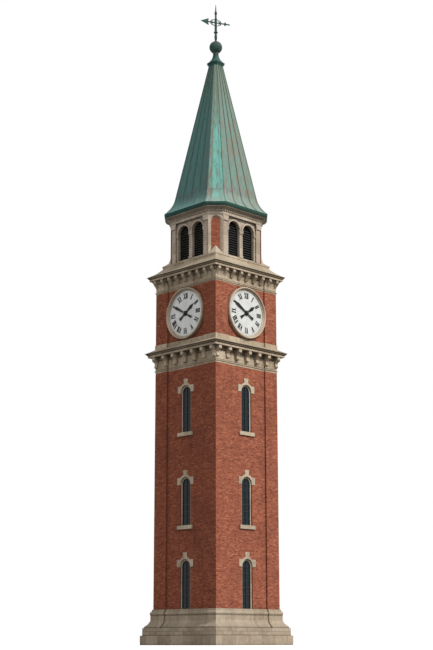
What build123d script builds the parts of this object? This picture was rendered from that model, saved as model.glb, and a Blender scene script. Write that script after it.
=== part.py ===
"""A square brick clock tower with stone base, cornices and belfry, under a copper spire with a weathervane.

Millimetres, +Z up. The origin is on the underside of the ground course, under the middle of the tower.
The front faces -Y. Each face repeats the others, so most pieces are made for the front and turned about Z.
"""

import os

from build123d import *
from math import atan, ceil, cos, pi, radians, sqrt, tan

os.makedirs("parts", exist_ok=True)

FACES = ("front", "right", "back", "left")
ROOT2 = sqrt(2)

# ---- brick shaft -------------------------------------------------------------------------------
tower_width = 5000  # over the corner piers
pier_width = 985
panel_recess = 80  # the wall panels stand back this far from the piers
wall_thickness = 550

# ---- heights, from the ground up ---------------------------------------------------------------
ground_course_height = 520
plinth_course_height = 410
base_moulding_height = 1000
ground_storey_height = 4540  # top of the base to the first upper sill
middle_storey_height = 5220  # sill to sill
upper_storey_height = 3685  # highest sill to the top of the brick
lower_architrave_height = 200
lower_frieze_height = 740
lower_cornice_height = 465
clock_course_height = 267
clock_stage_height = 3070
upper_architrave_height = 165
upper_frieze_height = 648
upper_cornice_height = 738
block_course_height = 191
arcade_height = 2425
belfry_frieze_height = 180
belfry_cornice_height = 275
eave_height = 190
spire_height = 9700

# ---- reach of each stone course beyond the brick face -------------------------------------------
ground_course_reach = 520
plinth_course_reach = 430
sweep_foot_reach = 366
sweep_foot_height = 66
sweep_head_reach = 115
sweep_head_height = 400
sweep_hollow = 35
torus_reach = 165
torus_height = 200
torus_top_reach = 60
torus_cap_height = 100  # the plain band over the torus
architrave_reach = 45
architrave_ogee_height = 50
architrave_ogee_hollow = 8
architrave_lip_height = 45
architrave_groove_height = 45
architrave_groove_setback = 12
frieze_reach = 5
lower_corona_reach = 326
lower_crown_reach = 455
corona_height = 110
crown_height = 140
crown_lip_height = 25
crown_bow = 12
lower_weathering_hollow = 12
clock_course_reach = 32
weathering_step = 40  # the weathered top meets the course over it this far outside it
cove_height = 450
cove_reach = 195
cove_hollow = 30
cove_fillet_height = 30
upper_corona_reach = 288
upper_crown_reach = 405
upper_weathering_hollow = 45
block_course_setback = 262  # the square block course stands inside the brick face
block_lip = 20
block_lip_height = 70

# ---- windows -----------------------------------------------------------------------------------
window_width = 820
window_height = 2700
lining_width = 85
lining_setback = 70
lining_depth = 170
hood_width = 130
hood_proud = 25
hood_depth = 90
ear_width = 110
ear_drop = 20
ear_rise = 380
keystone_rise = 370
keystone_drop = 10
keystone_width = 340
keystone_foot_width = 265
sill_width = 1190
sill_thickness = 210
sill_proud = 85
sill_depth = 260
pane_thickness = 12
pane_play = 4
pane_inset = 50  # from the front of the lining to the glass

# ---- floors ------------------------------------------------------------------------------------
floor_thickness = 260
sill_over_floor = 780

# ---- brackets under the two cornices -----------------------------------------------------------
bracket_bedding = 60  # the brackets are built into the wall this far behind its face
bracket_seating = 1  # the lowest part of a bracket stands off the frieze by this much
console_count = 7
console_width = 210
console_reach = 285
console_head_height = 190
console_foot_rise = 120
console_scroll_height = 150
console_scroll_reach = 105
console_waist_reach = 66
console_throat_reach = 112
console_throat_drop = 115
modillion_count = 9
modillion_width = 190
modillion_end_inset = 10
modillion_reach = 245
modillion_head_height = 160
modillion_tail_height = 300
modillion_throat_reach = 95
modillion_throat_rise = 130

# ---- clock -------------------------------------------------------------------------------------
surround_gap = 3
surround_width = 182
surround_proud = 200
surround_bead = 85
surround_bead_roll = 50
surround_bead_drop = 15
surround_hollow_width = 38
surround_hollow_depth = 80
surround_fillet = 30
surround_fillet_drop = 110
dial_play = 3
dial_thickness = 60
dial_bearing = 95  # the dial overlaps the round opening in the wall by this much
arbor_radius = 45
arbor_play = 1.5
arbor_reach = 175
arbor_root = 5  # the arbor runs into the dial plate by this much
arbor_cap_radius = 62
arbor_cap_thickness = 18
hand_gap = 20  # dial to hour hand
hands_gap = 18  # hour hand to minute hand
hand_thickness = 14
hand_shoulder_share = 0.32  # of the hand's reach, where the leaf begins to swell
hand_leaf_share = 0.66
hand_neck_share = 0.84
hand_neck_width_share = 0.67
hand_tail_width_share = 0.8
hand_tail_end_width_share = 0.9
hand_tail_waist_share = 0.45
minute_tip_gap = 107  # from the tip to the edge of the dial
minute_tail = 590
minute_waist = 96
minute_leaf = 176
minute_hub_radius = 132
hour_shortfall = 360  # the hour hand is shorter than the minute hand by this much
hour_tail = 560
hour_waist = 116
hour_leaf = 215
hour_hub_radius = 152
minute_hand_turn = 300  # degrees past twelve: ten to two
hour_hand_turn = 55

# ---- belfry ------------------------------------------------------------------------------------
belfry_setback = 60  # the main faces stand inside the block course
broach_reach = 478  # the cut corners stand this far inside the block course's corners
corner_pier_proud = 35  # the stone of a cut corner stands out from the main faces' pilasters
pilaster_width = 380
arcade_setback = 85
arcade_thickness = 293
arch_sill_rise = 120
arch_head_gap = 200  # crown of an arch to the top of the wall
arch_margin = 132  # pilaster to opening
mullion_width = 260
mullion_cap_height = 200
mullion_cap_swell = 130
mullion_cap_proud = 36
mullion_cap_hollow = 14
mullion_foot_height = 110
mullion_foot_proud = 25
mullion_louvre_gap = 12  # its capital and foot stop short of the louvres
archivolt_width = 110
archivolt_proud = 40
impost_height = 150
corner_panel_width = 530
corner_panel_rise = 150
corner_panel_head_gap = 150
corner_panel_recess = 62  # depth of the splay from the cut face to the brick
corner_splay = 150  # width of the splay, seen from the front
corner_panel_thickness = 110
corner_wall_depth = 400
margin_width = 60  # strip of brick between a pilaster and the corner pier
margin_setback = 8
margin_depth = 32
capital_height = 330
capital_proud = 55
capital_neck_rise = 30
capital_neck_height = 60
capital_neck_proud = 12
capital_swell_rise = 240
capital_swell = 45
capital_hollow = 12
broach_height = 550
broach_hollow_run = 0.72  # where the ridge of the broach bends, along it and up it
broach_hollow_rise = 0.36
louvre_setback = 193
louvre_frame = 45
louvre_depth = 100
louvre_pitch = 150  # at most
louvre_blade = 16
louvre_tilt = 54
louvre_play = 3
belfry_frieze_reach = 72
belfry_bed_reach = 15
belfry_bed_height = 60
belfry_cornice_reach = 306
belfry_cornice_hollow = 22
belfry_corona_height = 60

# ---- roof --------------------------------------------------------------------------------------
eave_overhang = 101  # beyond the cornice, on the main faces
eave_corner_overhang = 89
eave_drip_height = 60
eave_drip_setback = 40
eave_plate_width = 640
spire_top_radius = 419
slope_thickness = 130
flare_start = 970  # above the eave, where the straight slope begins to bend out
flare_reach = 410  # the flare carries the eave this far beyond the straight slope

# ---- finial and vane ---------------------------------------------------------------------------
collar_flare_radius = 540
collar_flare_rise = 190
collar_flare_hollow = 20
collar_edge_height = 40
collar_roof_radius = 387
collar_roof_rise = 360
collar_roof_hollow = 16
bell_radius = 327
bell_rise = 420
bell_hollow = 28
neck_radius = 173
neck_rise = 800
ball_radius = 398
ball_rise = 1330  # spire top to the middle of the ball
rod_radius = 56
rod_foot_radius = 95
rod_neck_radius = 66
rod_neck_rise = 120
rod_neck_hollow = 14
rod_swell_radius = 84
rod_swell_rise = 2090
rod_swell_bow = 10
lower_knop_radius = 124
lower_knop_rise = 2335
lower_knop_foot_radius = 60
lower_knop_foot_drop = 60
knop_band = 24
knop_bow = 12
rod_socket_radius = 76
rod_socket_rise = 70
upper_knop_radius = 80
upper_knop_rise = 3640
upper_knop_band = 40
upper_knop_reach = 90
upper_knop_bow = 10
rod_tip_foot_radius = 48
vane_rise = 3000
rod_tip_rise = 4203
rod_tip_radius = 14
vane_play = 2
sleeve_radius = 80
sleeve_gap = 1.5
vane_bar_radius = 38
vane_head_reach = 995
vane_head_length = 530
vane_head_height = 460
vane_tail_reach = 880
vane_head_notch = 37
vane_lobe_reach = 616
vane_lobe_length = 240
vane_lobe_height = 280
vane_tail_radius = 51
vane_plate = 26
scroll_radius = 235
scroll_bar = 26
vane_heading = 155.4  # degrees from +X, where the arrow's head points

# ---- levels and widths that follow -------------------------------------------------------------
run_length = 4 * tower_width  # longer than any side, for runs that are cut to length
half = tower_width / 2
bay_half = half - pier_width
panel_face = half - panel_recess
room_half = panel_face - wall_thickness

plinth_foot = ground_course_height
base_foot = plinth_foot + plinth_course_height
shaft_foot = base_foot + base_moulding_height
first_sill = shaft_foot + ground_storey_height
second_sill = first_sill + middle_storey_height
shaft_top = second_sill + upper_storey_height
lower_frieze_foot = shaft_top + lower_architrave_height
lower_cornice_foot = lower_frieze_foot + lower_frieze_height
clock_course_foot = lower_cornice_foot + lower_cornice_height
clock_foot = clock_course_foot + clock_course_height
clock_top = clock_foot + clock_stage_height
upper_frieze_foot = clock_top + upper_architrave_height
upper_cornice_foot = upper_frieze_foot + upper_frieze_height
block_foot = upper_cornice_foot + upper_cornice_height
belfry_foot = block_foot + block_course_height
belfry_top = belfry_foot + arcade_height
belfry_cornice_foot = belfry_top + belfry_frieze_height
eave_foot = belfry_cornice_foot + belfry_cornice_height
roof_foot = eave_foot + eave_height
spire_top = roof_foot + spire_height

upper_sills = (first_sill, second_sill)
window_feet = (shaft_foot, *upper_sills)  # the lowest windows stand on the base

block_half = half - block_course_setback
belfry_reach = block_half - belfry_setback  # middle of the tower to a main face
belfry_corner_reach = block_half * ROOT2 - broach_reach  # middle of the tower to a cut corner
pier_reach = belfry_reach + corner_pier_proud
pier_edge = belfry_corner_reach * ROOT2 - pier_reach  # middle of a main face to a cut corner's arris
arcade_face = belfry_reach - arcade_setback
arcade_back = arcade_face - arcade_thickness
belfry_corner_step = belfry_corner_reach - pier_reach
belfry_edge = (belfry_reach + belfry_corner_step) * ROOT2 - belfry_reach
pilaster_inner = belfry_edge - pilaster_width
mullion_half = mullion_width / 2
arch_radius = (pilaster_inner - mullion_half - arch_margin) / 2
arch_offset = mullion_half + arch_radius  # middle of the face to the middle of an arch
arch_foot = belfry_foot + arch_sill_rise
arch_crown = belfry_top - arch_head_gap
arch_spring = arch_crown - arch_radius
arches = (-arch_offset, arch_offset)
panel_foot = belfry_foot + corner_panel_rise
panel_crown = belfry_top - corner_panel_head_gap

dial_centre = (clock_foot + clock_top) / 2
surround_radius = min(bay_half, clock_stage_height / 2) - surround_gap
dial_hole_radius = surround_radius - surround_width
dial_face = panel_face + dial_thickness
minute_reach = dial_hole_radius - minute_tip_gap
hour_reach = minute_reach - hour_shortfall

eave_reach = belfry_reach + belfry_cornice_reach + eave_overhang
eave_corner_reach = eave_reach - eave_overhang + belfry_corner_step + eave_corner_overhang
roof_share = eave_reach / eave_corner_reach  # main slope's distance from the axis over a corner slope's
straight_fall = (eave_corner_reach - flare_reach - spire_top_radius) / spire_height
sleeve_length = 2 * (scroll_radius + scroll_bar)


# ---- building blocks ---------------------------------------------------------------------------
def outline(steps):
    """A closed, symmetrical outline in XZ, read up its right side.

    Each step is (reach, height) or (reach, height, bow): a bowed edge is an arc, out if bow is positive.
    """
    edges = []
    for start, end in zip(steps, steps[1:]):
        a = Vector(start[0], 0, start[1])
        b = Vector(end[0], 0, end[1])
        if len(end) == 3:
            out = Vector(b.Z - a.Z, 0, a.X - b.X).normalized()
            edges.append(ThreePointArc(a, (a + b) / 2 + out * end[2], b))
        else:
            edges.append(Line(a, b))
    edges += [mirror(edge, Plane.YZ) for edge in edges]
    for reach, height, *_ in (steps[0], steps[-1]):
        edges.append(Line((-reach, 0, height), (reach, 0, height)))
    return make_face(edges)


def shifted(steps, change):
    """The same steps with every reach changed by one amount."""
    return [(step[0] + change, *step[1:]) for step in steps]


def moulded_square(steps):
    """A square mass whose four sides all carry the same moulding, mitred at the corners."""
    run = extrude(outline(steps), amount=run_length / 2, both=True)
    return run & Rot(0, 0, 90) * run


def moulded_octagon(steps, corner_step):
    """A square mass with cut corners; the corners stand corner_step further out than the sides."""
    side_run = extrude(outline(steps), amount=run_length / 2, both=True)
    corner_run = extrude(outline(shifted(steps, corner_step)), amount=run_length / 2, both=True)
    mass = side_run & Rot(0, 0, 90) * side_run
    mass = mass & Rot(0, 0, 45) * corner_run
    return mass & Rot(0, 0, -45) * corner_run


def block(x0, x1, y0, y1, z0, z1):
    """A plain block between two corners."""
    return Pos((x0 + x1) / 2, (y0 + y1) / 2, (z0 + z1) / 2) * Box(x1 - x0, y1 - y0, z1 - z0)


def shaft_hole(reach, z0, z1):
    """The square room inside the tower, as a block to cut out."""
    return block(-reach, reach, -reach, reach, z0, z1)


def faceted(steps, share):
    """An eight-sided upright piece; steps are for its corner sides, the main sides take their share."""
    corner_run = extrude(outline(steps), amount=run_length / 2, both=True)
    side_steps = [(step[0] * share, step[1], *[bow * share for bow in step[2:]]) for step in steps]
    side_run = extrude(outline(side_steps), amount=run_length / 2, both=True)
    mass = side_run & Rot(0, 0, 90) * side_run
    mass = mass & Rot(0, 0, 45) * corner_run
    return mass & Rot(0, 0, -45) * corner_run


def course(steps, inner):
    """A hollow square course: the moulded mass with the room cut out of it."""
    low = steps[0][1]
    high = max(step[1] for step in steps)
    return moulded_square(steps) - shaft_hole(inner, low - 1, high + 1)


def stepped_course(steps, inner):
    """A hollow course that stands back between the piers, as the wall panels below it do."""
    low = steps[0][1]
    high = max(step[1] for step in steps)
    bays = block(-bay_half, bay_half, -run_length / 2, run_length / 2, low - 1, high + 1)
    bays = bays + Rot(0, 0, 90) * bays
    mass = (moulded_square(steps) - bays) + moulded_square(shifted(steps, -panel_recess))
    return mass - shaft_hole(inner, low - 1, high + 1)


def arched(width, foot, crown, near, far, middle=0.0):
    """A round-headed block: width by height, from y = -far to y = -near."""
    left = middle - width / 2
    right = middle + width / 2
    spring = crown - width / 2
    edge = [
        Line((left, -near, foot), (right, -near, foot)),
        Line((right, -near, foot), (right, -near, spring)),
        ThreePointArc((right, -near, spring), (middle, -near, crown), (left, -near, spring)),
        Line((left, -near, spring), (left, -near, foot)),
    ]
    return extrude(make_face(edge), amount=far - near, dir=(0, -1, 0))


def front_plate(points, near, far):
    """A flat plate in XZ cut to the points, from y = -far to y = -near."""
    face = make_face(Polyline(*[(x, -near, z) for x, z in points], close=True))
    return extrude(face, amount=far - near, dir=(0, -1, 0))


def each_face(piece):
    """The front piece and its three copies round the tower."""
    return [Rot(0, 0, 90 * turn) * piece for turn in range(4)]


def separate(pieces):
    """Several solids that don't touch, kept apart in one node."""
    solids = [solid for piece in pieces for solid in piece.solids()]
    return Compound(children=solids)


def save(node, shape):
    """Write one node."""
    export_step(shape, "parts/" + node + ".step")


def save_faces(stem, piece):
    """Write a piece once for each face of the tower."""
    for face, copy in zip(FACES, each_face(piece)):
        save(stem + "_" + face, copy)


# ---- stone base --------------------------------------------------------------------------------
def base():
    """The ground course is a solid footing; the courses on it are rings round the hollow tower."""
    reach = half + ground_course_reach
    save("ground_course", block(-reach, reach, -reach, reach, 0, ground_course_height))
    reach = half + plinth_course_reach
    save("plinth_course", course([(reach, plinth_foot), (reach, base_foot)], room_half))
    torus_foot = shaft_foot - torus_cap_height - torus_height
    steps = [
        (half + sweep_foot_reach, base_foot),
        (half + sweep_foot_reach, base_foot + sweep_foot_height),
        (half + sweep_head_reach, base_foot + sweep_head_height, -sweep_hollow),
        (half + sweep_head_reach, torus_foot),
        (half + torus_top_reach, torus_foot + torus_height, torus_reach - sweep_head_reach),
        (half + torus_top_reach, shaft_foot),
    ]
    save("base_moulding", stepped_course(steps, room_half))


# ---- brick walls -------------------------------------------------------------------------------
def corner_piers(foot, top):
    """Four square brick piers, one at each corner."""
    return separate(each_face(block(bay_half, half, -half, -bay_half, foot, top)))


def wall_panel(foot, top):
    """The front wall between two piers, set back from them."""
    return block(-bay_half, bay_half, -panel_face, -room_half, foot, top)


def shaft():
    """Four piers, and a wall between each pair with three round-headed windows."""
    save("shaft_corner_piers", corner_piers(shaft_foot, shaft_top))
    wall = wall_panel(shaft_foot, shaft_top)
    for foot in window_feet:
        wall -= arched(window_width, foot, foot + window_height, room_half - 1, panel_face + 1)
        wall -= window_hood_mass(foot, panel_face - hood_depth, panel_face + 1)
    for foot in upper_sills:
        wall -= window_sill(foot, sill_depth, 1)
    save_faces("shaft_wall", wall)


# ---- windows -----------------------------------------------------------------------------------
def window_hood_mass(foot, near, far):
    """The outline of the stone over a window, with no opening: ring, ears and keystone."""
    crown = foot + window_height
    spring = crown - window_width / 2
    ring_radius = window_width / 2 + hood_width
    ear_reach = ring_radius + ear_width
    ring = arched(2 * ring_radius, spring - ear_drop, crown + hood_width, near, far)
    ears = block(-ear_reach, ear_reach, -far, -near, spring - ear_drop, spring + ear_rise)
    key = front_plate(
        [
            (-keystone_foot_width / 2, crown - keystone_drop),
            (keystone_foot_width / 2, crown - keystone_drop),
            (keystone_width / 2, crown + keystone_rise),
            (-keystone_width / 2, crown + keystone_rise),
        ],
        near,
        far,
    )
    return ring + ears + key


def window_hood(foot):
    """The stone over a window, let into the brick and standing a little proud of it."""
    near = panel_face - hood_depth
    far = panel_face + hood_proud
    mass = window_hood_mass(foot, near, far)
    return mass - arched(window_width, foot, foot + window_height, near - 1, far + 1)


def window_lining(foot):
    """The stone frame inside the brick opening."""
    far = panel_face - lining_setback
    near = far - lining_depth
    clear = window_width - 2 * lining_width
    crown = foot + window_height
    frame = arched(window_width, foot, crown, near, far)
    return frame - arched(clear, foot - 1, crown - lining_width, near - 1, far + 1)


def window_sill(foot, depth, extra=0.0):
    """The stone block under an upper window."""
    far = panel_face + sill_proud + extra
    return block(-sill_width / 2, sill_width / 2, -far, -panel_face + depth, foot - sill_thickness, foot)


def window_pane(foot):
    """One sheet of leaded glass behind the front edge of the lining."""
    far = panel_face - lining_setback - pane_inset
    width = window_width - 2 * lining_width - 2 * pane_play
    crown = foot + window_height - lining_width - pane_play
    return arched(width, foot + pane_play, crown, far - pane_thickness, far)


def windows():
    """Hoods, linings, sills and panes of the twelve windows."""
    hoods = [window_hood(foot) for foot in window_feet]
    linings = [window_lining(foot) for foot in window_feet]
    panes = [window_pane(foot) for foot in window_feet]
    sills = [window_sill(foot, sill_depth) for foot in upper_sills]
    save("window_hoods", separate([copy for hood in hoods for copy in each_face(hood)]))
    save("window_linings", separate([copy for lining in linings for copy in each_face(lining)]))
    save("window_panes", separate([copy for pane in panes for copy in each_face(pane)]))
    save("window_sills", separate([copy for sill in sills for copy in each_face(sill)]))


# ---- floors ------------------------------------------------------------------------------------
def room_floor(top):
    """A floor slab that fills the room and fits round the piers."""
    foot = top - floor_thickness
    strip = block(-bay_half, bay_half, -room_half, room_half, foot, top)
    return strip + Rot(0, 0, 90) * strip


def floors():
    """A floor under each upper window row, one for the clock and one for the belfry."""
    save("first_floor", room_floor(first_sill - sill_over_floor))
    save("second_floor", room_floor(second_sill - sill_over_floor))
    save("clock_floor", room_floor(clock_foot))
    foot = belfry_foot - floor_thickness
    save("belfry_floor", shaft_hole(arcade_back, foot, belfry_foot))


# ---- cornices ----------------------------------------------------------------------------------
def architrave(foot, height):
    """A low moulding: a plain band, a hollow, a lip, and a groove under the frieze."""
    groove_foot = foot + height - architrave_groove_height
    lip_foot = groove_foot - architrave_lip_height
    steps = [
        (half + frieze_reach, foot),
        (half + frieze_reach, lip_foot - architrave_ogee_height),
        (half + architrave_reach, lip_foot, -architrave_ogee_hollow),
        (half + architrave_reach, groove_foot),
        (half - architrave_groove_setback, groove_foot),
        (half - architrave_groove_setback, foot + height),
    ]
    return stepped_course(steps, room_half)


def cornice(foot, height, corona_reach, crown_reach, top_reach, hollow):
    """A corona with a crown moulding over it and a weathered top that slopes back in a hollow."""
    corona_top = foot + corona_height
    crown_top = corona_top + crown_height
    lip_foot = crown_top - crown_lip_height
    middle = ((corona_reach + crown_reach) / 2, (corona_top + lip_foot) / 2)
    steps = [
        (half + corona_reach, foot),
        (half + corona_reach, corona_top),
        (half + middle[0], middle[1], crown_bow),
        (half + crown_reach, lip_foot, -crown_bow),
        (half + crown_reach, crown_top),
        (half + top_reach, foot + height, -hollow),
    ]
    return course(steps, room_half)


def bracket(front, back, width):
    """A bracket: its front outline, side on, closed against the wall behind and made as wide as asked."""
    top = front[0].position_at(0)
    low = front[-1].position_at(1)
    outer = (back, top.Y)
    inner = (back, low.Y)
    side = [Line(outer, top), *front, Line(low, inner), Line(inner, outer)]
    face = Plane((0, 0, 0), x_dir=(0, -1, 0), z_dir=(-1, 0, 0)) * make_face(side)
    return extrude(face, amount=width / 2, both=True)


def console(back, foot, top):
    """A scrolled bracket: a square head, a hollow throat and a rolled foot over a plain tail."""
    nose = (half + console_reach, top)
    chin = (half + console_reach, top - console_head_height)
    throat = (half + console_throat_reach, chin[1] - console_throat_drop)
    scroll_foot = foot + console_foot_rise
    waist = (half + console_waist_reach, scroll_foot + console_scroll_height)
    roll = (half + console_scroll_reach, scroll_foot + console_scroll_height / 2)
    tail = (half + frieze_reach + bracket_seating, scroll_foot)
    front = [Line(nose, chin), ThreePointArc(chin, throat, waist), ThreePointArc(waist, roll, tail)]
    return bracket(front, back, console_width)


def modillion(back, foot, top):
    """A small bracket: a square head with a hollow tail dying into the cove."""
    nose = (half + modillion_reach, top)
    chin = (half + modillion_reach, top - modillion_head_height)
    throat = (half + modillion_throat_reach, foot + modillion_throat_rise)
    tail = (half + frieze_reach + bracket_seating, foot)
    front = [Line(nose, chin), ThreePointArc(chin, throat, tail)]
    return bracket(front, back, modillion_width)


def bracket_row(piece, count, end, frieze):
    """Equally spaced brackets along each face, the last ones at its ends, fitted to the frieze."""
    spacing = 2 * end / (count - 1)
    row = [Pos(place * spacing - end, 0, 0) * piece - frieze for place in range(count)]
    return separate([copy for bracket_piece in row for copy in each_face(bracket_piece)])


def lower_cornice():
    """Architrave, frieze with consoles, cornice and the plain course that carries the clock stage."""
    save("lower_architrave", architrave(shaft_top, lower_architrave_height))
    reach = half + frieze_reach
    frieze = stepped_course([(reach, lower_frieze_foot), (reach, lower_cornice_foot)], room_half)
    save("lower_frieze", frieze)
    piece = console(panel_face - bracket_bedding, lower_frieze_foot, lower_cornice_foot)
    end = half + frieze_reach - console_width / 2
    save("lower_consoles", bracket_row(piece, console_count, end, frieze))
    mass = cornice(
        lower_cornice_foot, lower_cornice_height, lower_corona_reach, lower_crown_reach,
        clock_course_reach + weathering_step, lower_weathering_hollow,
    )
    save("lower_cornice", mass)
    reach = half + clock_course_reach
    steps = [(reach, clock_course_foot), (reach, clock_foot)]
    save("clock_course", stepped_course(steps, room_half))


def upper_cornice():
    """Architrave, coved frieze with modillions, cornice and the block course under the belfry."""
    save("upper_architrave", architrave(clock_top, upper_architrave_height))
    cove_top = upper_cornice_foot - cove_fillet_height
    steps = [
        (half + frieze_reach, upper_frieze_foot),
        (half + frieze_reach, cove_top - cove_height),
        (half + cove_reach, cove_top, -cove_hollow),
        (half + cove_reach, upper_cornice_foot),
    ]
    frieze = stepped_course(steps, room_half)
    save("upper_frieze", frieze)
    foot = upper_cornice_foot - modillion_head_height - modillion_tail_height
    piece = modillion(panel_face - bracket_bedding, foot, upper_cornice_foot)
    end = half + frieze_reach - modillion_width / 2 - modillion_end_inset
    save("upper_modillions", bracket_row(piece, modillion_count, end, frieze))
    mass = cornice(
        upper_cornice_foot, upper_cornice_height, upper_corona_reach, upper_crown_reach,
        block_lip - block_course_setback, upper_weathering_hollow,
    )
    save("upper_cornice", mass)
    lip_foot = belfry_foot - block_lip_height
    steps = [
        (block_half, block_foot),
        (block_half, lip_foot),
        (block_half + block_lip, lip_foot),
        (block_half + block_lip, belfry_foot),
    ]
    save("block_course", course(steps, arcade_back))


# ---- clock stage -------------------------------------------------------------------------------
def upright_round(radius, near, far):
    """A round plate from y = -far to y = -near, about the Y axis."""
    return Pos(0, -(near + far) / 2, 0) * Rot(90, 0, 0) * Cylinder(radius, far - near)


def disc(radius, near, far):
    """The same plate, centred on the dial."""
    return Pos(0, 0, dial_centre) * upright_round(radius, near, far)


def dial_surround():
    """A moulded stone ring: an outer bead, a hollow and an inner fillet, turned about the dial."""
    outer = surround_radius
    inner = dial_hole_radius
    front = -panel_face - surround_proud
    bead = (outer - surround_bead, front + surround_bead_drop)
    roll = (outer - surround_fillet, front)
    lip = (outer, front + surround_bead_roll)
    hollow = (bead[0] - surround_hollow_width, front + surround_hollow_depth)
    fillet = (inner + surround_fillet, front + surround_fillet_drop)
    section = [
        Line((inner, -panel_face), (outer, -panel_face)),
        Line((outer, -panel_face), lip),
        ThreePointArc(lip, roll, bead),
        ThreePointArc(bead, hollow, fillet),
        Line(fillet, (inner, fillet[1])),
        Line((inner, fillet[1]), (inner, -panel_face)),
    ]
    return Pos(0, 0, dial_centre) * revolve(make_face(section), Axis.Y, 360)


def dial():
    """The white dial plate with the arbor that carries the hands, and its end cap."""
    plate = disc(dial_hole_radius - dial_play, panel_face, dial_face)
    arbor_end = dial_face + arbor_reach
    arbor = disc(arbor_radius, dial_face - arbor_root, arbor_end)
    cap = disc(arbor_cap_radius, arbor_end - arbor_cap_thickness, arbor_end)
    return plate + arbor + cap


def hand(reach, tail, waist, leaf, hub_radius, near, turn):
    """One clock hand: a leaf that swells and narrows to a point, a hub, and a counterweight tail."""
    far = near + hand_thickness
    neck = waist * hand_neck_width_share
    half_side = [
        (waist / 2, reach * hand_shoulder_share),
        (leaf / 2, reach * hand_leaf_share),
        (neck / 2, reach * hand_neck_share),
    ]
    left_side = [(-x, z) for x, z in half_side]
    edge = [(waist / 2, 0), *half_side, (0, reach), *reversed(left_side), (-waist / 2, 0)]
    blade = front_plate(edge, near, far)
    shank = waist * hand_tail_width_share / 2
    paddle = leaf * hand_tail_end_width_share / 2
    bend = -tail * hand_tail_waist_share
    edge = [(-shank, 0), (shank, 0), (shank, bend), (paddle, -tail), (-paddle, -tail), (-shank, bend)]
    counter = front_plate(edge, near, far)
    hub = upright_round(hub_radius, near, far)
    bore = upright_round(arbor_radius + arbor_play, near - 1, far + 1)
    return Pos(0, 0, dial_centre) * Rot(0, turn, 0) * (blade + counter + hub - bore)


def clock_stage():
    """Piers and walls with a round opening, and on each face a dial in its ring with two hands."""
    save("clock_corner_piers", corner_piers(clock_foot, clock_top))
    wall = wall_panel(clock_foot, clock_top)
    wall -= disc(dial_hole_radius - dial_bearing, room_half - 1, panel_face + 1)
    save_faces("clock_wall", wall)
    save("dial_surrounds", separate(each_face(dial_surround())))
    save("dials", separate(each_face(dial())))
    hour_near = dial_face + hand_gap
    minute_near = hour_near + hand_thickness + hands_gap
    hour = hand(hour_reach, hour_tail, hour_waist, hour_leaf, hour_hub_radius, hour_near, hour_hand_turn)
    minute = hand(
        minute_reach, minute_tail, minute_waist, minute_leaf, minute_hub_radius, minute_near,
        minute_hand_turn,
    )
    save_faces("hour_hand", hour)
    save_faces("minute_hand", minute)


# ---- belfry ------------------------------------------------------------------------------------
def belfry_corner():
    """A stone corner: a pier on the cut face, recessed for its brickwork, and a pilaster each side."""
    inner_edge = (belfry_corner_reach - corner_wall_depth) * ROOT2 - arcade_back
    plan = [
        (pilaster_inner, -belfry_reach),
        (belfry_edge, -belfry_reach),
        (belfry_edge, -pier_reach),
        (pier_edge, -pier_reach),
        (pier_reach, -pier_edge),
        (pier_reach, -belfry_edge),
        (belfry_reach, -belfry_edge),
        (belfry_reach, -pilaster_inner),
        (arcade_back, -pilaster_inner),
        (arcade_back, -inner_edge),
        (inner_edge, -arcade_back),
        (pilaster_inner, -arcade_back),
    ]
    face = make_face(Polyline(*plan, close=True))
    corner = Pos(0, 0, belfry_foot) * extrude(face, amount=arcade_height)
    corner -= Rot(0, 0, 45) * panel_splay()
    corner -= corner_panel(corner_panel_recess + corner_panel_thickness, 1)
    for cut in (margin_strip(-1), capital()):
        corner -= cut
        corner -= mirror_over_corner(cut)
    return corner


def mirror_over_corner(piece):
    """The same piece on the other side of the front right corner."""
    return Rot(0, 0, 90) * mirror(piece, Plane.YZ)


def panel_splay():
    """The stone beside a corner panel slopes in to it: a round-headed cut that narrows as it deepens."""
    faces = []
    for reach, spread in ((belfry_corner_reach + 1, corner_splay), (panel_plane(), 0)):
        radius = corner_panel_width / 2 + spread
        spring = panel_crown - corner_panel_width / 2
        low = panel_foot
        edge = [
            Line((-radius, -reach, low), (radius, -reach, low)),
            Line((radius, -reach, low), (radius, -reach, spring)),
            ThreePointArc(
                (radius, -reach, spring), (0, -reach, panel_crown + spread / 2), (-radius, -reach, spring)
            ),
            Line((-radius, -reach, spring), (-radius, -reach, low)),
        ]
        faces.append(make_face(edge))
    return loft(faces, ruled=True)


def panel_plane():
    """Middle of the tower to the face of the brick in a cut corner."""
    return belfry_corner_reach - corner_panel_recess


def corner_panel(depth, extra):
    """The round-headed recess in a cut corner, as deep as asked."""
    far = belfry_corner_reach + extra
    near = belfry_corner_reach - depth
    return Rot(0, 0, 45) * arched(corner_panel_width, panel_foot, panel_crown, near, far)


def corner_brick():
    """The brickwork that fills the recess up to its splayed stone edge."""
    near = panel_plane() - corner_panel_thickness
    return Rot(0, 0, 45) * arched(corner_panel_width, panel_foot, panel_crown, near, panel_plane())


def margin_strip(setback):
    """Brick let into the front face between the right pilaster and its corner pier, under the capital."""
    inner = belfry_edge - margin_width
    top = belfry_top - capital_height
    return block(inner, belfry_edge, setback - belfry_reach, margin_depth - belfry_reach, belfry_foot, top)


def capital():
    """A pilaster's capital on the front face, right of the middle."""
    foot = belfry_top - capital_height
    reach = pilaster_width / 2
    neck_foot = foot + capital_neck_rise
    steps = [
        (reach, foot),
        (reach + capital_neck_proud, neck_foot),
        (reach + capital_neck_proud, neck_foot + capital_neck_height),
        (reach + capital_swell, foot + capital_swell_rise, -capital_hollow),
        (reach + capital_swell, belfry_top),
    ]
    shape = extrude(outline(steps), amount=capital_proud, dir=(0, -1, 0))
    return Pos(belfry_edge - pilaster_width / 2, -belfry_reach, 0) * shape


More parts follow.
